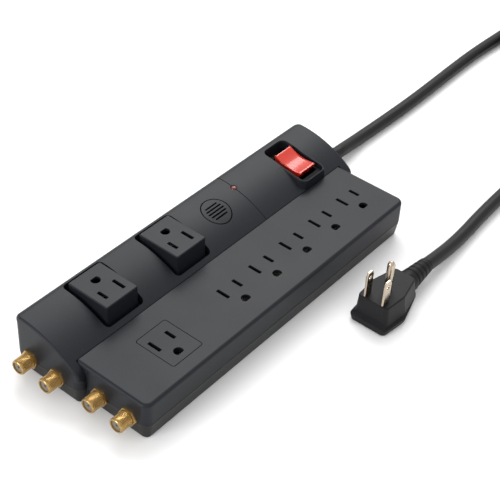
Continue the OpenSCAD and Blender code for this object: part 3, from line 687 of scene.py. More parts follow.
def slot_cutters(centre, turned=False):
    """Cutters of one outlet: hot and neutral slots and the ground hole with its flat."""
    sign = -1 if turned else 1
    x, y, top = centre
    low, high = top - 6 * MM, top + 1 * MM
    made = []
    for half_length, offset in ((3.65 * MM, BLADE_HALF_GAP), (4.5 * MM, -BLADE_HALF_GAP)):
        points = outline(centred(x, y + sign * offset, half_length, 1.1 * MM), [0.25 * MM] * 4, steps=2)
        made.append(prism("slot", points, low, high))
    radius = 2.9 * MM
    flat = 0.33 * 2 * radius
    half_turn = math.acos(flat / radius)
    points = arc_points((0, 0), radius, half_turn, 2 * math.pi - half_turn, 36)
    points = [(x + sign * (GROUND_OFFSET + px), y + sign * py) for px, py in points]
    made.append(prism("ground", points, low, high))
    return made


def jack_foot(jack):
    """Where a jack's hexagon meets the front wall, behind the end of the jack."""
    return (jack.x, jack.y + 5.5 * MM, jack.z)


def jack_cutters():
    """Cutters of the four jack holes in the front walls."""
    return [place(rod("jack_hole", 5.0 * MM, -9 * MM, 12 * MM, 48, "Y"), jack_foot(jack)) for jack in JACKS]


def exit_cutter():
    """Cutter of the cord's hole, which the rear cover and the base share."""
    return place(rod("exit_hole", 5.6 * MM, -9 * MM, 9 * MM, 48, "Y"), EXIT_AT)


def lamp_cutter():
    """Cutter of the indicator's hole, which both arched covers share."""
    return place(rod("lamp_hole", 2.2 * MM, 30 * MM, 45 * MM), LED_AT)


BLOCK_X = BLOCK_OUTLETS[0].x - 6 * MM
BLOCK_HALF = (15.2 * MM, 12.5 * MM)
MOAT = 2.7 * MM
FLANGE_Z = 24.4 * MM
FLANGE_THICK = 1.6 * MM
LED_AT = Vector((crest_x + 11 * MM, (front_hi.y + rear_lo.y) / 2, 0))
GRILLE_AT = Vector((base_lo.x + 22.1 * MM, base_lo.y + 144.9 * MM, 0))


def arch_height(x):
    return arch_z0 + math.sqrt(arch_radius ** 2 - (x - crest_x) ** 2)


def block_ring(y, grow, radius):
    hx, hy = BLOCK_HALF[0] + grow, BLOCK_HALF[1] + grow
    return outline(centred(BLOCK_X, y, hx, hy), [radius] * 4, steps=6)


def engraved_ring(radius, width, depth):
    """Cutter for a ring line of even depth in the arch, round the sound slots."""
    lo, hi = radius - width / 2, radius + width / 2
    tool = place(ring_solid("ring_line", [
        (lo, 30 * MM), (hi, 30 * MM), (hi, 42 * MM), (lo, 42 * MM)], steps=96), GRILLE_AT)
    return combine(tool, [pod_solid("ring_floor", depth, 20 * MM, front_lo.y, front_hi.y)])


class STRIP_OT_front_cover(bpy.types.Operator):
    """Moulds the front part of the arched cover: two recesses, the sound slots and the jack holes"""
    bl_idname = "strip.front_cover"
    bl_label = "Front Cover"

    def execute(self, context):
        cover = pod_solid("arched_cover_front", 0, front_lo.z, front_lo.y, front_hi.y, round1=False)
        inner = pod_solid("hollow", wall, front_lo.z - 5 * MM, front_lo.y + wall, front_hi.y + 5 * MM)
        deck_room = block("deck_room", (step_x - gap, deck_lo.y - gap, 0), (20 * MM, 0.2, 50 * MM))
        combine(cover, [inner])
        combine(cover, [deck_room])
        for outlet in BLOCK_OUTLETS:
            recess = prism("recess_wall", block_ring(outlet.y, MOAT + 1.1 * MM, 4 * MM), FLANGE_Z, 50 * MM)
            under = pod_solid("under_arch", wall / 2, 14 * MM, front_lo.y, front_hi.y)
            combine(cover, [combine(recess, [under], "INTERSECT")], "UNION")
        for outlet in BLOCK_OUTLETS:
            combine(cover, [prism("recess", block_ring(outlet.y, MOAT, 3 * MM), FLANGE_Z, 50 * MM)])
        combine(cover, jack_cutters())
        slots = []
        reach = 6.9 * MM
        for i in range(-2, 3):
            x = i * 2.2 * MM
            run = math.sqrt(reach ** 2 - x * x)
            slot = centred(GRILLE_AT.x + x, GRILLE_AT.y, 0.55 * MM, run)
            points = outline(slot, [0.53 * MM] * 4, steps=4)
            slots.append(prism("sound_slot", points, 30 * MM, 45 * MM))
        combine(cover, [lamp_cutter()])
        combine(cover, slots)
        combine(cover, [engraved_ring(9.6 * MM, 0.7 * MM, 0.4 * MM)])
        soften(cover, 0, merge=False)
        finish_piece(cover, cover_plastic(), stands_for=("pod_cover_front",))
        return {"FINISHED"}


WELL_HALF = (17.65 * MM, 10.2 * MM)
RIM_LEFT_Z = 38.3 * MM
RIM_RIGHT_Z = 33.7 * MM


def well_ring(grow):
    hx, hy = WELL_HALF[0] + grow, WELL_HALF[1] + grow
    return outline(centred(well_centre.x, well_centre.y, hx, hy), [4 * MM + grow] * 4, steps=10)


def rim_height(x):
    slope = (RIM_RIGHT_Z - RIM_LEFT_Z) / (2 * WELL_HALF[0])
    return RIM_LEFT_Z + slope * (x - well_centre.x + WELL_HALF[0])


class STRIP_OT_rear_cover(bpy.types.Operator):
    """Moulds the rear part of the arched cover with the collar round the switch"""
    bl_idname = "strip.rear_cover"
    bl_label = "Rear Cover"

    def execute(self, context):
        cover = pod_solid("arched_cover_rear", 0, rear_lo.z, rear_lo.y, rear_hi.y, round0=False)
        inner = pod_solid("hollow", wall, rear_lo.z - 5 * MM, rear_lo.y - 5 * MM, rear_hi.y - wall)
        combine(cover, [inner])
        combine(cover, [block("deck_room", (step_x - gap, 0, 0), (20 * MM, deck_hi.y + gap, 50 * MM))])
        rim = ((2.6, 12.0), (2.2, 7.0), (1.75, 4.0), (1.45, 2.0), (1.3, 1.0), (1.2, 0.55),
               (0.95, 0.14), (0.6, 0.0), (0.3, 0.1), (0.06, 0.4), (0, 0.9))
        rings = [[(x, y, rim_height(x) - drop * MM) for x, y in well_ring(grow * MM)] for grow, drop in rim]
        rings += [[(x, y, 26 * MM) for x, y in well_ring(grow * MM)] for grow in (0, 1.0)]
        collar = loft("collar", rings, closed=True)
        combine(collar, [block("step_side", (step_x - gap, 0, 0), (20 * MM, 0.2, 50 * MM))])
        combine(cover, [prism("well", well_ring(0.25 * MM), 20 * MM, 50 * MM)])
        combine(cover, [collar], "UNION")
        combine(cover, [exit_cutter()])
        combine(cover, [lamp_cutter()])
        soften(cover, 0, merge=False)
        finish_piece(cover, cover_plastic(), stands_for=("pod_cover_rear",))
        return {"FINISHED"}


# ---------------------------------------------------------------- flat half, base and outlets

DECK_CORNERS = rectangle(deck_lo.x, deck_lo.y, deck_hi.x, deck_hi.y)
INSERT_AT = Vector((DECK_OUTLETS[0].x + 3.8 * MM, DECK_OUTLETS[0].y + 1.3 * MM, deck_hi.z))
INSERT_HALF = (14.2 * MM, 11.9 * MM)


def rounded_rings(corners, radii, z0, z1, edge, shares=None, steps=6, foot=0.0):
    """Rings of a solid with a rounded upper edge, and a small rounding at its foot when asked."""
    rings = []
    if foot:
        for i in range(4):
            t = math.pi / 2 * i / 4
            ring = outline(corners, radii, foot * (1 - math.sin(t)), shares, steps)
            rings.append([(x, y, z0 + foot * (1 - math.cos(t))) for x, y in ring])
    else:
        rings.append([(x, y, z0) for x, y in outline(corners, radii, 0, shares, steps)])
    for i in range(7):
        t = math.pi / 2 * i / 6
        ring = outline(corners, radii, edge * (1 - math.cos(t)), shares, steps)
        rings.append([(x, y, z1 - edge * (1 - math.sin(t))) for x, y in ring])
    return rings


class STRIP_OT_deck_cover(bpy.types.Operator):
    """Moulds the flat cover with its row of outlets"""
    bl_idname = "strip.deck_cover"
    bl_label = "Flat Cover"

    def execute(self, context):
        big, sharp = sizes().corner_radius, 0.3 * MM
        radii, shares = [sharp, big, big, sharp], [1, 1, 1, 0]
        cover = loft("flat_cover", rounded_rings(
            DECK_CORNERS, radii, deck_lo.z, deck_hi.z, sizes().edge_radius, shares, foot=0.25 * MM))
        inner = outline(DECK_CORNERS, radii, wall, [1, 1, 1, 0.75])
        combine(cover, [prism("hollow", inner, deck_lo.z - 2 * MM, deck_hi.z - wall)])
        for outlet in DECK_OUTLETS[1:]:
            combine(cover, slot_cutters(outlet))
        clear = 0.2 * MM
        opening = outline(centred(
            INSERT_AT.x, INSERT_AT.y, INSERT_HALF[0] + clear, INSERT_HALF[1] + clear), [1.7 * MM] * 4)
        combine(cover, [prism("insert_opening", opening, deck_hi.z - 5 * MM, deck_hi.z + 1 * MM)])
        combine(cover, jack_cutters())
        soften(cover, 0.22 * MM)
        finish_piece(cover, cover_plastic(), stands_for=("deck_cover",))
        return {"FINISHED"}


class STRIP_OT_outlet_faces(bpy.types.Operator):
    """Makes the two raised outlet blocks and the outlet insert of the flat half"""
    bl_idname = "strip.outlet_faces"
    bl_label = "Outlet Faces"

    def execute(self, context):
        hx, hy = BLOCK_HALF
        for outlet, node in zip(BLOCK_OUTLETS, ("outlet_block_front", "outlet_block_rear")):
            corners = centred(BLOCK_X, outlet.y, hx, hy)
            radii = [1.1 * MM] * 4
            raised = loft(node + "_body", rounded_rings(
                corners, radii, FLANGE_Z - FLANGE_THICK, outlet.z, 0.8 * MM))
            reach = max(BLOCK_X - hx - MOAT - 1 * MM, base_lo.x + wall + 0.4 * MM)
            room = outline(rectangle(reach, outlet.y - hy - MOAT - 1 * MM, BLOCK_X + hx + MOAT + 0.3 * MM,
                                     outlet.y + hy + MOAT + 1 * MM), [0.8 * MM] * 4)
            flange = prism("flange", room, FLANGE_Z - FLANGE_THICK, FLANGE_Z - 0.15 * MM)
            combine(raised, [flange], "UNION")
            hollow = centred(BLOCK_X, outlet.y, hx - 2 * MM, hy - 2 * MM)
            combine(raised, [prism("hollow", hollow, 10 * MM, outlet.z - 2 * MM)])
            combine(raised, slot_cutters(outlet, turned=True))
            soften(raised, 0.22 * MM)
            finish_piece(raised, cover_plastic(), stands_for=(node,))
        hx, hy = INSERT_HALF
        corners = centred(INSERT_AT.x, INSERT_AT.y, hx, hy)
        insert = loft("outlet_insert_face", rounded_rings(
            corners, [1.5 * MM] * 4, deck_hi.z - wall - 1.4 * MM, deck_hi.z, 0.25 * MM))
        combine(insert, slot_cutters(DECK_OUTLETS[0]))
        soften(insert, 0.2 * MM)
        finish_piece(insert, cover_plastic(), stands_for=("outlet_insert",))
        return {"FINISHED"}


SCREWS = [
    (41.3, -87.75), (41.3, 28.45), (41.3, 115.25), (1, -43.55), (1, 103.25),
    (-40.3, -43.55), (-8.1, -43.55), (-40.3, 66.25), (-8.1, 66.25), (-12, 121.25),
]


class STRIP_OT_base(bpy.types.Operator):
    """Moulds the base with its draft, screw pillars, keyholes and openings"""
    bl_idname = "strip.base"
    bl_label = "Base"

    def execute(self, context):
        left, right = base_lo.x, base_hi.x
        end_x = front_hi.x
        corners = [
            (left, base_lo.y), (end_x, base_lo.y), (end_x, deck_lo.y), (right, deck_lo.y),
            (right, deck_hi.y), (end_x, deck_hi.y), (end_x, base_hi.y), (left, base_hi.y)]
        big, small = sizes().corner_radius, 0.4 * MM
        radii = [big, big, small, big, big, small, big, big]
        draft = 1.6 * MM
        top = base_hi.z
        levels = [(0.0, draft + 1.0 * MM), (0.12 * MM, draft + 0.6 * MM), (0.42 * MM, draft + 0.2 * MM),
                  (1.0 * MM, draft * 0.93)]
        levels += [(1 * MM + (top - 1.5 * MM) * i / 3, draft * 0.93 * (1 - i / 3)) for i in (1, 2, 3)]
        levels += [(top - 0.2 * MM, 0.12 * MM), (top, 0.4 * MM)]
        rings = [[(x, y, z) for x, y in outline(corners, radii, inset)] for z, inset in levels]
        shell = loft("base_tray", rings)
        rings = [[(x, y, z) for x, y in outline(corners, radii, inset)]
                 for z, inset in ((wall, wall + draft * 0.9), (top + 1 * MM, wall))]
        combine(shell, [loft("hollow", rings)])
        for x, y in SCREWS:
            pillar = rod("pillar", 3.2 * MM, 1.2 * MM, top - 0.15 * MM)
            combine(shell, [place(pillar, (x * MM, y * MM, 0))], "UNION")
        head, shank, seat = 3.1 * MM, 1.65 * MM, 2.8 * MM
        bore = [(head, -1 * MM), (head, seat), (shank, seat), (shank, 14 * MM)]
        combine(shell, [place(lathe("bore", bore, 32), (x * MM, y * MM, 0)) for x, y in SCREWS])
        for name in ("keyhole_1", "keyhole_2"):
            x, y = mounts[name].x, mounts[name].y - 9 * MM
            entry, neck = 4 * MM, 2.1 * MM
            meet = math.asin(neck / entry)
            points = arc_points((x, y), entry, math.pi / 2 + meet, 2.5 * math.pi - meet, 24)
            points += arc_points((x, y + 9 * MM), neck, 0, math.pi, 12)
            combine(shell, [prism("keyhole", points, -1 * MM, 4 * MM)])
        combine(shell, jack_cutters())
        combine(shell, [exit_cutter()])
        soften(shell, 0.15 * MM)
        finish_piece(shell, base_plastic(), stands_for=("base_shell",))
        return {"FINISHED"}


# ---------------------------------------------------------------- switch and indicator

ROCKER_HALF = 11 * MM
ROCKER_WIDE = 15.1 * MM
ROCKER_TIP = 7.2 * MM
ROCKER_SAG = 2.2 * MM
ROCKER_REST = math.radians(10)


class STRIP_OT_rocker(bpy.types.Operator):
    """Moulds the saddle-shaped rocker with its pins"""
    bl_idname = "strip.rocker"
    bl_label = "Rocker"

    def execute(self, context):
        saddle = (ROCKER_HALF ** 2 + ROCKER_SAG ** 2) / (2 * ROCKER_SAG)
        edge = 0.9 * MM
        half_angle = math.asin((ROCKER_HALF - edge) / saddle)
        rise = ROCKER_TIP - ROCKER_SAG + saddle
        side = [(saddle * math.sin(a), rise - saddle * math.cos(a))
                for a in [half_angle * (1 - i / 12) for i in range(25)]]
        tip = [(-ROCKER_HALF + 0.25 * MM, ROCKER_TIP - 0.45 * MM), (-ROCKER_HALF, ROCKER_TIP - 0.95 * MM)]
        foot = [(2.6 * MM - ROCKER_HALF, 0), (3 * MM - ROCKER_HALF, -3 * MM)]
        left_side = tip + foot
        profile = side + left_side + [(-x, z) for x, z in reversed(left_side)]
        half = ROCKER_WIDE / 2
        rings = []
        middle = Vector((0, 1.5 * MM))
        rounding = 0.55 * MM
        for i in range(5):
            t = math.pi / 2 * i / 4
            rings.append((-half + rounding * (1 - math.sin(t)), rounding * (1 - math.cos(t))))
        rings += [(-y, d) for y, d in reversed(rings)]
        loops = []
        for y, d in rings:
            loop = []
            for x, z in profile:
                away = (Vector((x, z)) - middle)
                keep = 1 - d / max(away.length, 3 * MM)
                loop.append((middle.x + away.x * keep, y, middle.y + away.y * keep))
            loops.append(loop)
        rocker = loft("power_rocker", loops)
        cavity = block("cavity", (-6.5 * MM, -5.9 * MM, -5 * MM), (6.5 * MM, 5.9 * MM, 1.5 * MM))
        combine(rocker, [cavity])
        thick, root = 1.5 * MM, half - 0.5 * MM
        pin = lathe("pin", [(1.4 * MM, -9.2 * MM), (thick, -9.1 * MM), (thick, -root)], 24, "Y")
        other = lathe("pin", [(thick, root), (thick, 9.1 * MM), (1.4 * MM, 9.2 * MM)], 24, "Y")
        combine(rocker, [pin, other], "UNION")
        rocker.data.transform(Matrix.Rotation(ROCKER_REST, 4, "Y"))
        place(rocker, well_centre)
        soften(rocker, 0)
        red = lens("Rocker Red", colours().rocker, glow=0.02, roughness=0.16)
        finish_piece(rocker, red, body="rocker_body", stands_for=("rocker",))
        return {"FINISHED"}


class STRIP_OT_indicator(bpy.types.Operator):
    """Turns the indicator's lens, which sits across the joint of the arched covers"""
    bl_idname = "strip.indicator"
    bl_label = "Indicator"

    def execute(self, context):
        top = arch_height(LED_AT.x)
        profile = [(0.5, -3.0), (1.95, -3.0), (1.95, -0.1), (1.85, 0.25), (1.5, 0.62),
                   (1.0, 0.85), (0.5, 0.96), (0.06, 1.0)]
        window = lathe("indicator_window", [(r * MM, h * MM) for r, h in profile], 40)
        place(window, (LED_AT.x, LED_AT.y, top - 0.35 * MM))
        smooth(window)
        finish_piece(window, indicator_red(), stands_for=("indicator_lens",))
        return {"FINISHED"}


# ---------------------------------------------------------------- jacks

class STRIP_OT_jacks(bpy.types.Operator):
    """Cuts the threaded coaxial jacks with their hexagons, in place of the model's plain jack bodies"""
    bl_idname = "strip.jacks"
    bl_label = "Coaxial Jacks"

    def execute(self, context):
        pitch = sizes().thread_pitch
        outer, root = 4.75 * MM, 4.35 * MM
        start, end = 1.6 * MM, 10 * MM
        around, per_turn = 48, 8
        for number, jack in enumerate(JACKS, 1):
            count = int((end - 0.9 * MM - start) / pitch * per_turn)
            heights = [start + (end - 0.9 * MM - start) * i / count for i in range(count + 1)]

            def circle(radius, h):
                return [(radius * math.cos(2 * math.pi * k / around), -h,
                         radius * math.sin(2 * math.pi * k / around)) for k in range(around)]

            rings = [circle(3.45 * MM, -6 * MM), circle(outer - 0.05 * MM, -6 * MM),
                     circle(outer - 0.05 * MM, start)]
            for h in heights[1:]:
                ring = []
                for k in range(around):
                    phase = (h / pitch - k / around) % 1
                    crest = 1 - abs(2 * phase - 1)
                    fade = min((h - start) / pitch, (end - 0.8 * MM - h) / pitch, 1)
                    radius = outer - (outer - root) * (1 - min(crest * 1.5, 1)) * max(fade, 0)
                    angle = 2 * math.pi * k / around
                    ring.append((radius * math.cos(angle), -h, radius * math.sin(angle)))
                rings.append(ring)
            mouth = ((4.5, 0.35), (4.15, 0.05), (4.0, 0), (3.7, 0), (3.5, 0.25), (3.45, 1.2))
            rings += [circle(radius * MM, end - depth * MM) for radius, depth in mouth]
            body = loft(f"jack_{number}_thread", rings, closed=True)
            place(body, jack_foot(jack))
            smooth(body, 35)
            finish_piece(body, jack_gold())
            across = 11.1 * MM / 2 / math.cos(math.pi / 6)
            turns = [math.pi / 3 * k for k in range(6)]
            corners = [(across * math.cos(turn), across * math.sin(turn)) for turn in turns]
            profile = ((0, 0.0), (0.2, 1.2 * MM), (0.25, 1.45 * MM), (0.7, 1.6 * MM))
            rings = [[(x, -h, z) for x, z in outline(corners, [0.4 * MM] * 6, inset * MM, steps=3)]
                     for inset, h in profile]
            hexagon = loft(f"jack_{number}_hexagon", rings)
            combine(hexagon, [rod("bore", 4.72 * MM, -3 * MM, 3 * MM, 48, "Y")])
            place(hexagon, jack_foot(jack))
            smooth(hexagon, 30)
            finish_piece(hexagon, jack_gold())
        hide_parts("jack_bodies")
        return {"FINISHED"}


# ---------------------------------------------------------------- plug and strain reliefs

PLUG_FACE = [(-10.5, -4), (10.5, -4), (11.8, 13), (7.5, 31), (-7.5, 31), (-11.8, 13)]
PLUG_BACK = [(-13, -7), (13, -7), (15, 12), (8, 34), (-8, 34), (-15, 12)]


def plug_ring(corners, scale, z, radius, inset=0.0):
    points = [(PLUG_AT.x + x * scale[0] * MM, PLUG_AT.y + y * scale[1] * MM) for x, y in corners]
    return [(x, y, z * MM) for x, y in outline(points, [radius * MM] * 6, inset * MM, steps=6)]


class STRIP_OT_plug(bpy.types.Operator):
    """Moulds the flat plug with its flared rim"""
    bl_idname = "strip.plug"
    bl_label = "Plug"

    def execute(self, context):
        back = ((0.94, 0, 0.8), (0.94, 0.25, 0.25), (0.95, 0.8, 0), (0.98, 2.4, 0), (1, 3.5, 0.1),
                (1, 3.9, 0), (1, 4.4, 0.12), (1, 4.7, 0.5), (0.97, 5.1, 1.2))
        face = (((1.12, 1.08), 6.2, 3.2, 0), ((1.085, 1.055), 8, 3.1, 0), ((1.04, 1.02), 13, 3, 0),
                ((1.005, 1.0), 18.0, 3, 0), ((1, 1), 18.5, 3, 0.12), ((1, 1), 18.85, 3, 0.45),
                ((1, 1), 19, 3, 0.95))
        rings = [plug_ring(PLUG_BACK, (scale, scale), z, 3, inset) for scale, z, inset in back]
        rings += [plug_ring(PLUG_FACE, *level) for level in face]
        body = loft("plug_moulding", rings)
        neck = lathe("neck", [(6.9 * MM, 0), (7.3 * MM, 2 * MM), (7.1 * MM, 7 * MM)], 48, "Y")
        neck.data.transform(Matrix.Scale(-1, 4, (0, 1, 0)))
        place(neck, (PLUG_AT.x, PLUG_AT.y + 29 * MM, 9.5 * MM))
        combine(body, [neck], "UNION")
        openings = [prism("blade_slot", outline(centred(
            PLUG_AT.x + s * BLADE_HALF_GAP, PLUG_AT.y, 0.78 * MM, 3.2 * MM), [0.2 * MM] * 4, steps=2),
            11 * MM, 20 * MM) for s in (-1, 1)]
        openings.append(place(rod("pin_hole", 2.42 * MM, 11 * MM, 20 * MM),
                              PLUG_AT + Vector((0, GROUND_OFFSET, 0))))
        combine(body, openings)
        soften(body, 0)
        finish_piece(body, plug_plastic())
        relief = ribbed_relief("plug_relief", 7.1 * MM, 4.95 * MM, 21 * MM, 5)
        place(relief, (PLUG_AT.x, PLUG_AT.y + 34 * MM, 9.5 * MM))
        finish_piece(relief, plug_plastic())
        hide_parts("plug_body")
        return {"FINISHED"}


def ribbed_relief(name, wide, narrow, length, grooves):
    """Tapered strain relief along +Y with rounded ribs."""
    profile = []
    count = grooves * 12
    for i in range(count + 1):
        t = i / count
        rib = 0.5 - 0.5 * math.cos(2 * math.pi * (t * grooves % 1))
        radius = wide + (narrow - wide) * t
        depth = 0.75 * MM * (1 - 0.45 * t) * (1 - min(rib * 2.2, 1)) if 0.06 < t < 0.97 else 0
        profile.append((radius - depth, length * t))
    profile.append((narrow - 0.35 * MM, length + 0.2 * MM))
    relief = lathe(name, profile, 48, "Y")
    relief.data.transform(Matrix.Scale(-1, 4, (0, 1, 0)))
    with editing(relief) as bm:
        bmesh.ops.recalc_face_normals(bm, faces=bm.faces[:])
    return smooth(relief, 50)


class STRIP_OT_blades(bpy.types.Operator):
    """Stamps the plug's two flat blades and turns its ground pin"""
    bl_idname = "strip.blades"
    bl_label = "Blades and Ground Pin"

    def execute(self, context):
        length = 17.5 * MM
        half = 3.175 * MM
        for side, node in ((-1, "plug_hot_blade"), (1, "plug_neutral_blade")):
            points = [(-half, -7.5 * MM), (half, -7.5 * MM), (half, length - 2.6 * MM),
                      (half - 1.1 * MM, length), (1.1 * MM - half, length), (-half, length - 2.6 * MM)]
            rings = []
            for inset, x in ((0.35, -0.75), (0.1, -0.6), (0, -0.4), (0, 0.4), (0.1, 0.6), (0.35, 0.75)):
                drawn = outline(
                    points, [0.5 * MM, 0.5 * MM, 0.9 * MM, 0.7 * MM, 0.7 * MM, 0.9 * MM], inset * MM, steps=4)
                rings.append([(x * MM, y, z) for y, z in drawn])
            blade = loft(node + "_stamping", rings)
            hole = rod("hole", 1.6 * MM, -3 * MM, 3 * MM, 32, "Y")
            hole.data.transform(Matrix.Rotation(math.pi / 2, 4, "Z"))
            combine(blade, [place(hole, (0, 0, length - 4 * MM))])
            place(blade, (PLUG_AT.x + side * BLADE_HALF_GAP, PLUG_AT.y, PLUG_FACE_Z))
            soften(blade, 0.12 * MM)
            finish_piece(blade, blade_nickel(), stands_for=(node,))
        radius, height = 2.375 * MM, 21.4 * MM
        profile = [(1.9 * MM, -8 * MM), (radius, -7.8 * MM), (radius, height - 3.2 * MM)]
        profile += [(radius * math.cos(a), height - 3.2 * MM + 3.2 * MM * math.sin(a))
                    for a in [math.pi / 2 * i / 10 for i in range(1, 10)]] + [(0.1 * MM, height)]
        pin = lathe("ground_pin_turning", profile, 48)
        seam = outline(rectangle(-0.22 * MM, -4 * MM, 0.22 * MM, -1.2 * MM), [0.1 * MM] * 4, steps=2)
        combine(pin, [prism("seam", seam, -9 * MM, height - 4.5 * MM)])
        pin.data.transform(Matrix.Rotation(math.radians(38), 4, "Z"))
        place(pin, PLUG_AT + Vector((0, GROUND_OFFSET, PLUG_FACE_Z)))
        soften(pin, 0)
        finish_piece(pin, blade_nickel(), stands_for=("plug_ground_pin",))
        return {"FINISHED"}


class STRIP_OT_reliefs(bpy.types.Operator):
    """Turns the strain relief at the strip's end and makes the tie round the coil"""
    bl_idname = "strip.reliefs"
    bl_label = "Strain Relief and Tie"

    def execute(self, context):
        relief = ribbed_relief("exit_relief", 6.7 * MM, 4.9 * MM, 24 * MM, 7)
        place(relief, EXIT_AT)
        finish_piece(relief, cord_plastic(), stands_for=("strain_relief",))
        lo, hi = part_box("coil_tie")
        middle = COIL_CENTRE.y + COIL_IN - 0.875 * sizes().cord_diameter
        half, top = 13.6 * MM, 18.6 * MM
        frame_line = rectangle(middle - half, 0, middle + half, top)
        rings = []
        for x, grow in ((lo.x, -0.3), (lo.x + 0.3 * MM, 0), (hi.x - 0.3 * MM, 0), (hi.x, -0.3)):
            outer = outline(frame_line, [4 * MM] * 4, -grow * MM * 0.5, steps=8)
            rings.append([(x, y, max(z, 0.02 * MM)) for y, z in outer])
        inner = [[(x, y, max(z, 0.01 * MM)) for y, z in outline(
            frame_line, [4 * MM] * 4, 0.9 * MM, steps=8)] for x in (hi.x, lo.x)]
        tie = loft("coil_strap", rings + inner, closed=True)
        smooth(tie)
        finish_piece(tie, cord_plastic(), stands_for=("coil_tie",))
        return {"FINISHED"}


# ---------------------------------------------------------------- inside pieces, stage and lights

def board_green():
    """Circuit board lacquer with faint copper tracks."""
    material, shader = new_material("Board Green")
    if shader is None:
        return material
    tree = material.node_tree
    tracks = add_node(tree, "TexBrick", {
        "Vector": add_node(tree, "TexCoord").outputs["Object"], "Scale": 160, "Mortar Size": 0.03,
        "Color1": (0.012, 0.09, 0.03, 1), "Color2": (0.016, 0.11, 0.04, 1), "Mortar": (0.03, 0.19, 0.07, 1)})
    tree.links.new(tracks.outputs["Color"], shader.inputs["Base Color"])
    shader.inputs["Roughness"].default_value = 0.35
    return material


def carrier_plastic():
    return plastic("Carrier Plastic", (0.55, 0.54, 0.5), roughness=0.5)


def ground_spring():
    return metal("Ground Spring", (0.75, 0.73, 0.7), (0.4, 0.38, 0.35), roughness=0.18)


def indicator_red():
    return lens("Indicator Red", (0.12, 0.015, 0.008))


def wire_plastic(name, colour):
    return plastic(name, colour, roughness=0.35, gloss=0.5, grain=0.05, scale=900.0)


INSIDE = {
    "cover_screws": lambda: metal("Screw Steel", (0.5, 0.5, 0.52), (0.2, 0.19, 0.18), roughness=0.3),
    "deck_contact_carrier": carrier_plastic,
    "pod_contact_carrier": carrier_plastic,
    "plunger": carrier_plastic,
    "plunger_spring": lambda: metal("Spring Steel", (0.55, 0.55, 0.57), (0.25, 0.24, 0.22), roughness=0.25),
    "switch_housing": switch_plastic,
    "rocker_lamp": lambda: lens("Lamp Glass", (0.9, 0.45, 0.2), glow=0.4),
    "power_board": board_green,
    "coax_board_left": board_green,
    "coax_board_right": board_green,
    "varistors": lambda: plastic("Varistor Blue", (0.03, 0.12, 0.42), roughness=0.3, gloss=0.5),
    "thermal_fuse": lambda: plastic("Fuse Cream", (0.6, 0.55, 0.42), roughness=0.4),
    "line_capacitor": lambda: plastic("Capacitor Yellow", (0.62, 0.5, 0.06), roughness=0.3, gloss=0.5),
    "line_choke": lambda: metal("Choke Copper", (0.7, 0.3, 0.13), (0.35, 0.14, 0.06), roughness=0.3),
    "alarm_buzzer": lambda: plastic("Buzzer Black", (0.008, 0.008, 0.009), roughness=0.5),
    "indicator_led": indicator_red,
    "surge_tubes": lambda: plastic("Tube Ceramic", (0.6, 0.58, 0.55), roughness=0.25, gloss=0.5),
    "jack_nuts": jack_gold,
    "jack_insulators": lambda: plastic("Jack Liner", (0.16, 0.14, 0.11), roughness=0.4, gloss=0.5),
    "jack_contacts": jack_gold,
    "switch_terminals": contact_brass,
    "contact_arm": contact_brass,
    "hot_wire": lambda: wire_plastic("Wire Black", (0.01, 0.01, 0.01)),
    "neutral_wire": lambda: wire_plastic("Wire White", (0.7, 0.7, 0.68)),
    "ground_wire": lambda: wire_plastic("Wire Green", (0.02, 0.2, 0.05)),
}
for half in ("deck", "pod"):
    INSIDE[f"{half}_neutral_bar"] = contact_brass
    INSIDE[f"{half}_hot_bar"] = contact_brass
    INSIDE[f"{half}_ground_bar"] = ground_spring


class STRIP_OT_inside(bpy.types.Operator):
    """Gives the contacts, boards, components, wires and screws inside their finishes"""
    bl_idname = "strip.inside"
    bl_label = "Inside Pieces"

    def execute(self, context):
        for node, finish in INSIDE.items():
            obj = bpy.data.objects[node]
            material = finish()
            if not obj.data.materials:
                obj.data.materials.append(material)
            for slot in obj.material_slots:
                slot.material = material
        return {"FINISHED"}


def soft_light(name, at, towards, size, power):
    data = bpy.data.lights.new(name, "AREA")
    data.shape = "RECTANGLE"
    data.size, data.size_y = size
    data.energy = power
    lamp = in_scene(name, data)
    lamp.location = at
    lamp.rotation_euler = (Vector(towards) - Vector(at)).to_track_quat("-Z", "Y").to_euler()


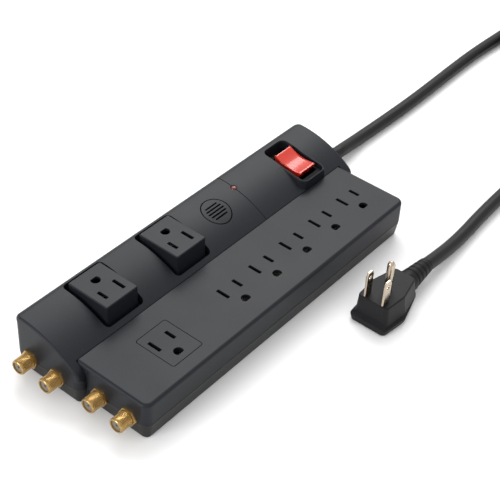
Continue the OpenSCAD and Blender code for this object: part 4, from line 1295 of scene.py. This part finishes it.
class STRIP_OT_stage(bpy.types.Operator):
    """Lays the pale floor and hangs the soft studio lights"""
    bl_idname = "strip.stage"
    bl_label = "Stage and Lights"

    def execute(self, context):
        bm = bmesh.new()
        bmesh.ops.create_grid(bm, x_segments=24, y_segments=24, size=6)
        floor = mesh_object("floor", bm)
        floor.location.z = -0.0002
        material, shader = new_material("Pale Floor")
        shader.inputs["Roughness"].default_value = 0.9
        shader.inputs["Specular IOR Level"].default_value = 0.1
        tree = material.node_tree
        noise = tree.nodes.new("ShaderNodeTexNoise")
        noise.inputs["Scale"].default_value = 3
        ramp = tree.nodes.new("ShaderNodeValToRGB")
        ramp.color_ramp.elements[0].color = (0.93, 0.93, 0.93, 1)
        ramp.color_ramp.elements[1].color = (0.96, 0.96, 0.96, 1)
        tree.links.new(noise.outputs["Fac"], ramp.inputs["Fac"])
        tree.links.new(ramp.outputs["Color"], shader.inputs["Base Color"])
        floor.data.materials.append(material)
        world = bpy.data.worlds.new("studio")
        world.use_nodes = True
        sky = world.node_tree.nodes["Background"].inputs
        sky["Color"].default_value = (1, 1, 1, 1)
        sky["Strength"].default_value = 0.86
        context.scene.world = world
        soft_light("key_light", (-0.55, 0.75, 1.1), (0, 0.02, 0), (1.1, 0.8), 15)
        soft_light("fill_light", (0.9, -0.6, 1.3), (0, 0, 0), (1.2, 1.2), 1.5)
        soft_light("front_light", (-0.25, -1.2, 0.45), (0, -0.1, 0.02), (0.6, 0.3), 7)
        context.scene.view_settings.view_transform = "Standard"
        return {"FINISHED"}


STEPS = (
    STRIP_OT_camera, STRIP_OT_reliefs, STRIP_OT_base, STRIP_OT_deck_cover,
    STRIP_OT_front_cover, STRIP_OT_rear_cover, STRIP_OT_outlet_faces, STRIP_OT_rocker,
    STRIP_OT_indicator, STRIP_OT_jacks, STRIP_OT_plug, STRIP_OT_blades, STRIP_OT_cord,
    STRIP_OT_inside, STRIP_OT_stage,
)


class STRIP_PT_panel(bpy.types.Panel):
    """Sidebar panel with the sizes, the colours and each step"""
    bl_idname = "STRIP_PT_panel"
    bl_label = "Surge Protector Strip"
    bl_space_type = "VIEW_3D"
    bl_region_type = "UI"
    bl_category = "Strip"

    def draw(self, context):
        column = self.layout.column(align=True)
        for group in (context.scene.strip_sizes, context.scene.strip_colours):
            for key in group.__annotations__:
                column.prop(group, key)
            column.separator()
        for step in STEPS:
            column.operator(step.bl_idname)


CLASSES = (StripSizes, StripColours, *STEPS, STRIP_PT_panel)


def register():
    for cls in CLASSES:
        bpy.utils.register_class(cls)
    bpy.types.Scene.strip_sizes = PointerProperty(type=StripSizes)
    bpy.types.Scene.strip_colours = PointerProperty(type=StripColours)


def unregister():
    del bpy.types.Scene.strip_colours
    del bpy.types.Scene.strip_sizes
    for cls in reversed(CLASSES):
        bpy.utils.unregister_class(cls)


def main():
    register()
    for step in STEPS:
        group, name = step.bl_idname.split(".")
        getattr(getattr(bpy.ops, group), name)()


if __name__ == "__main__":
    main()
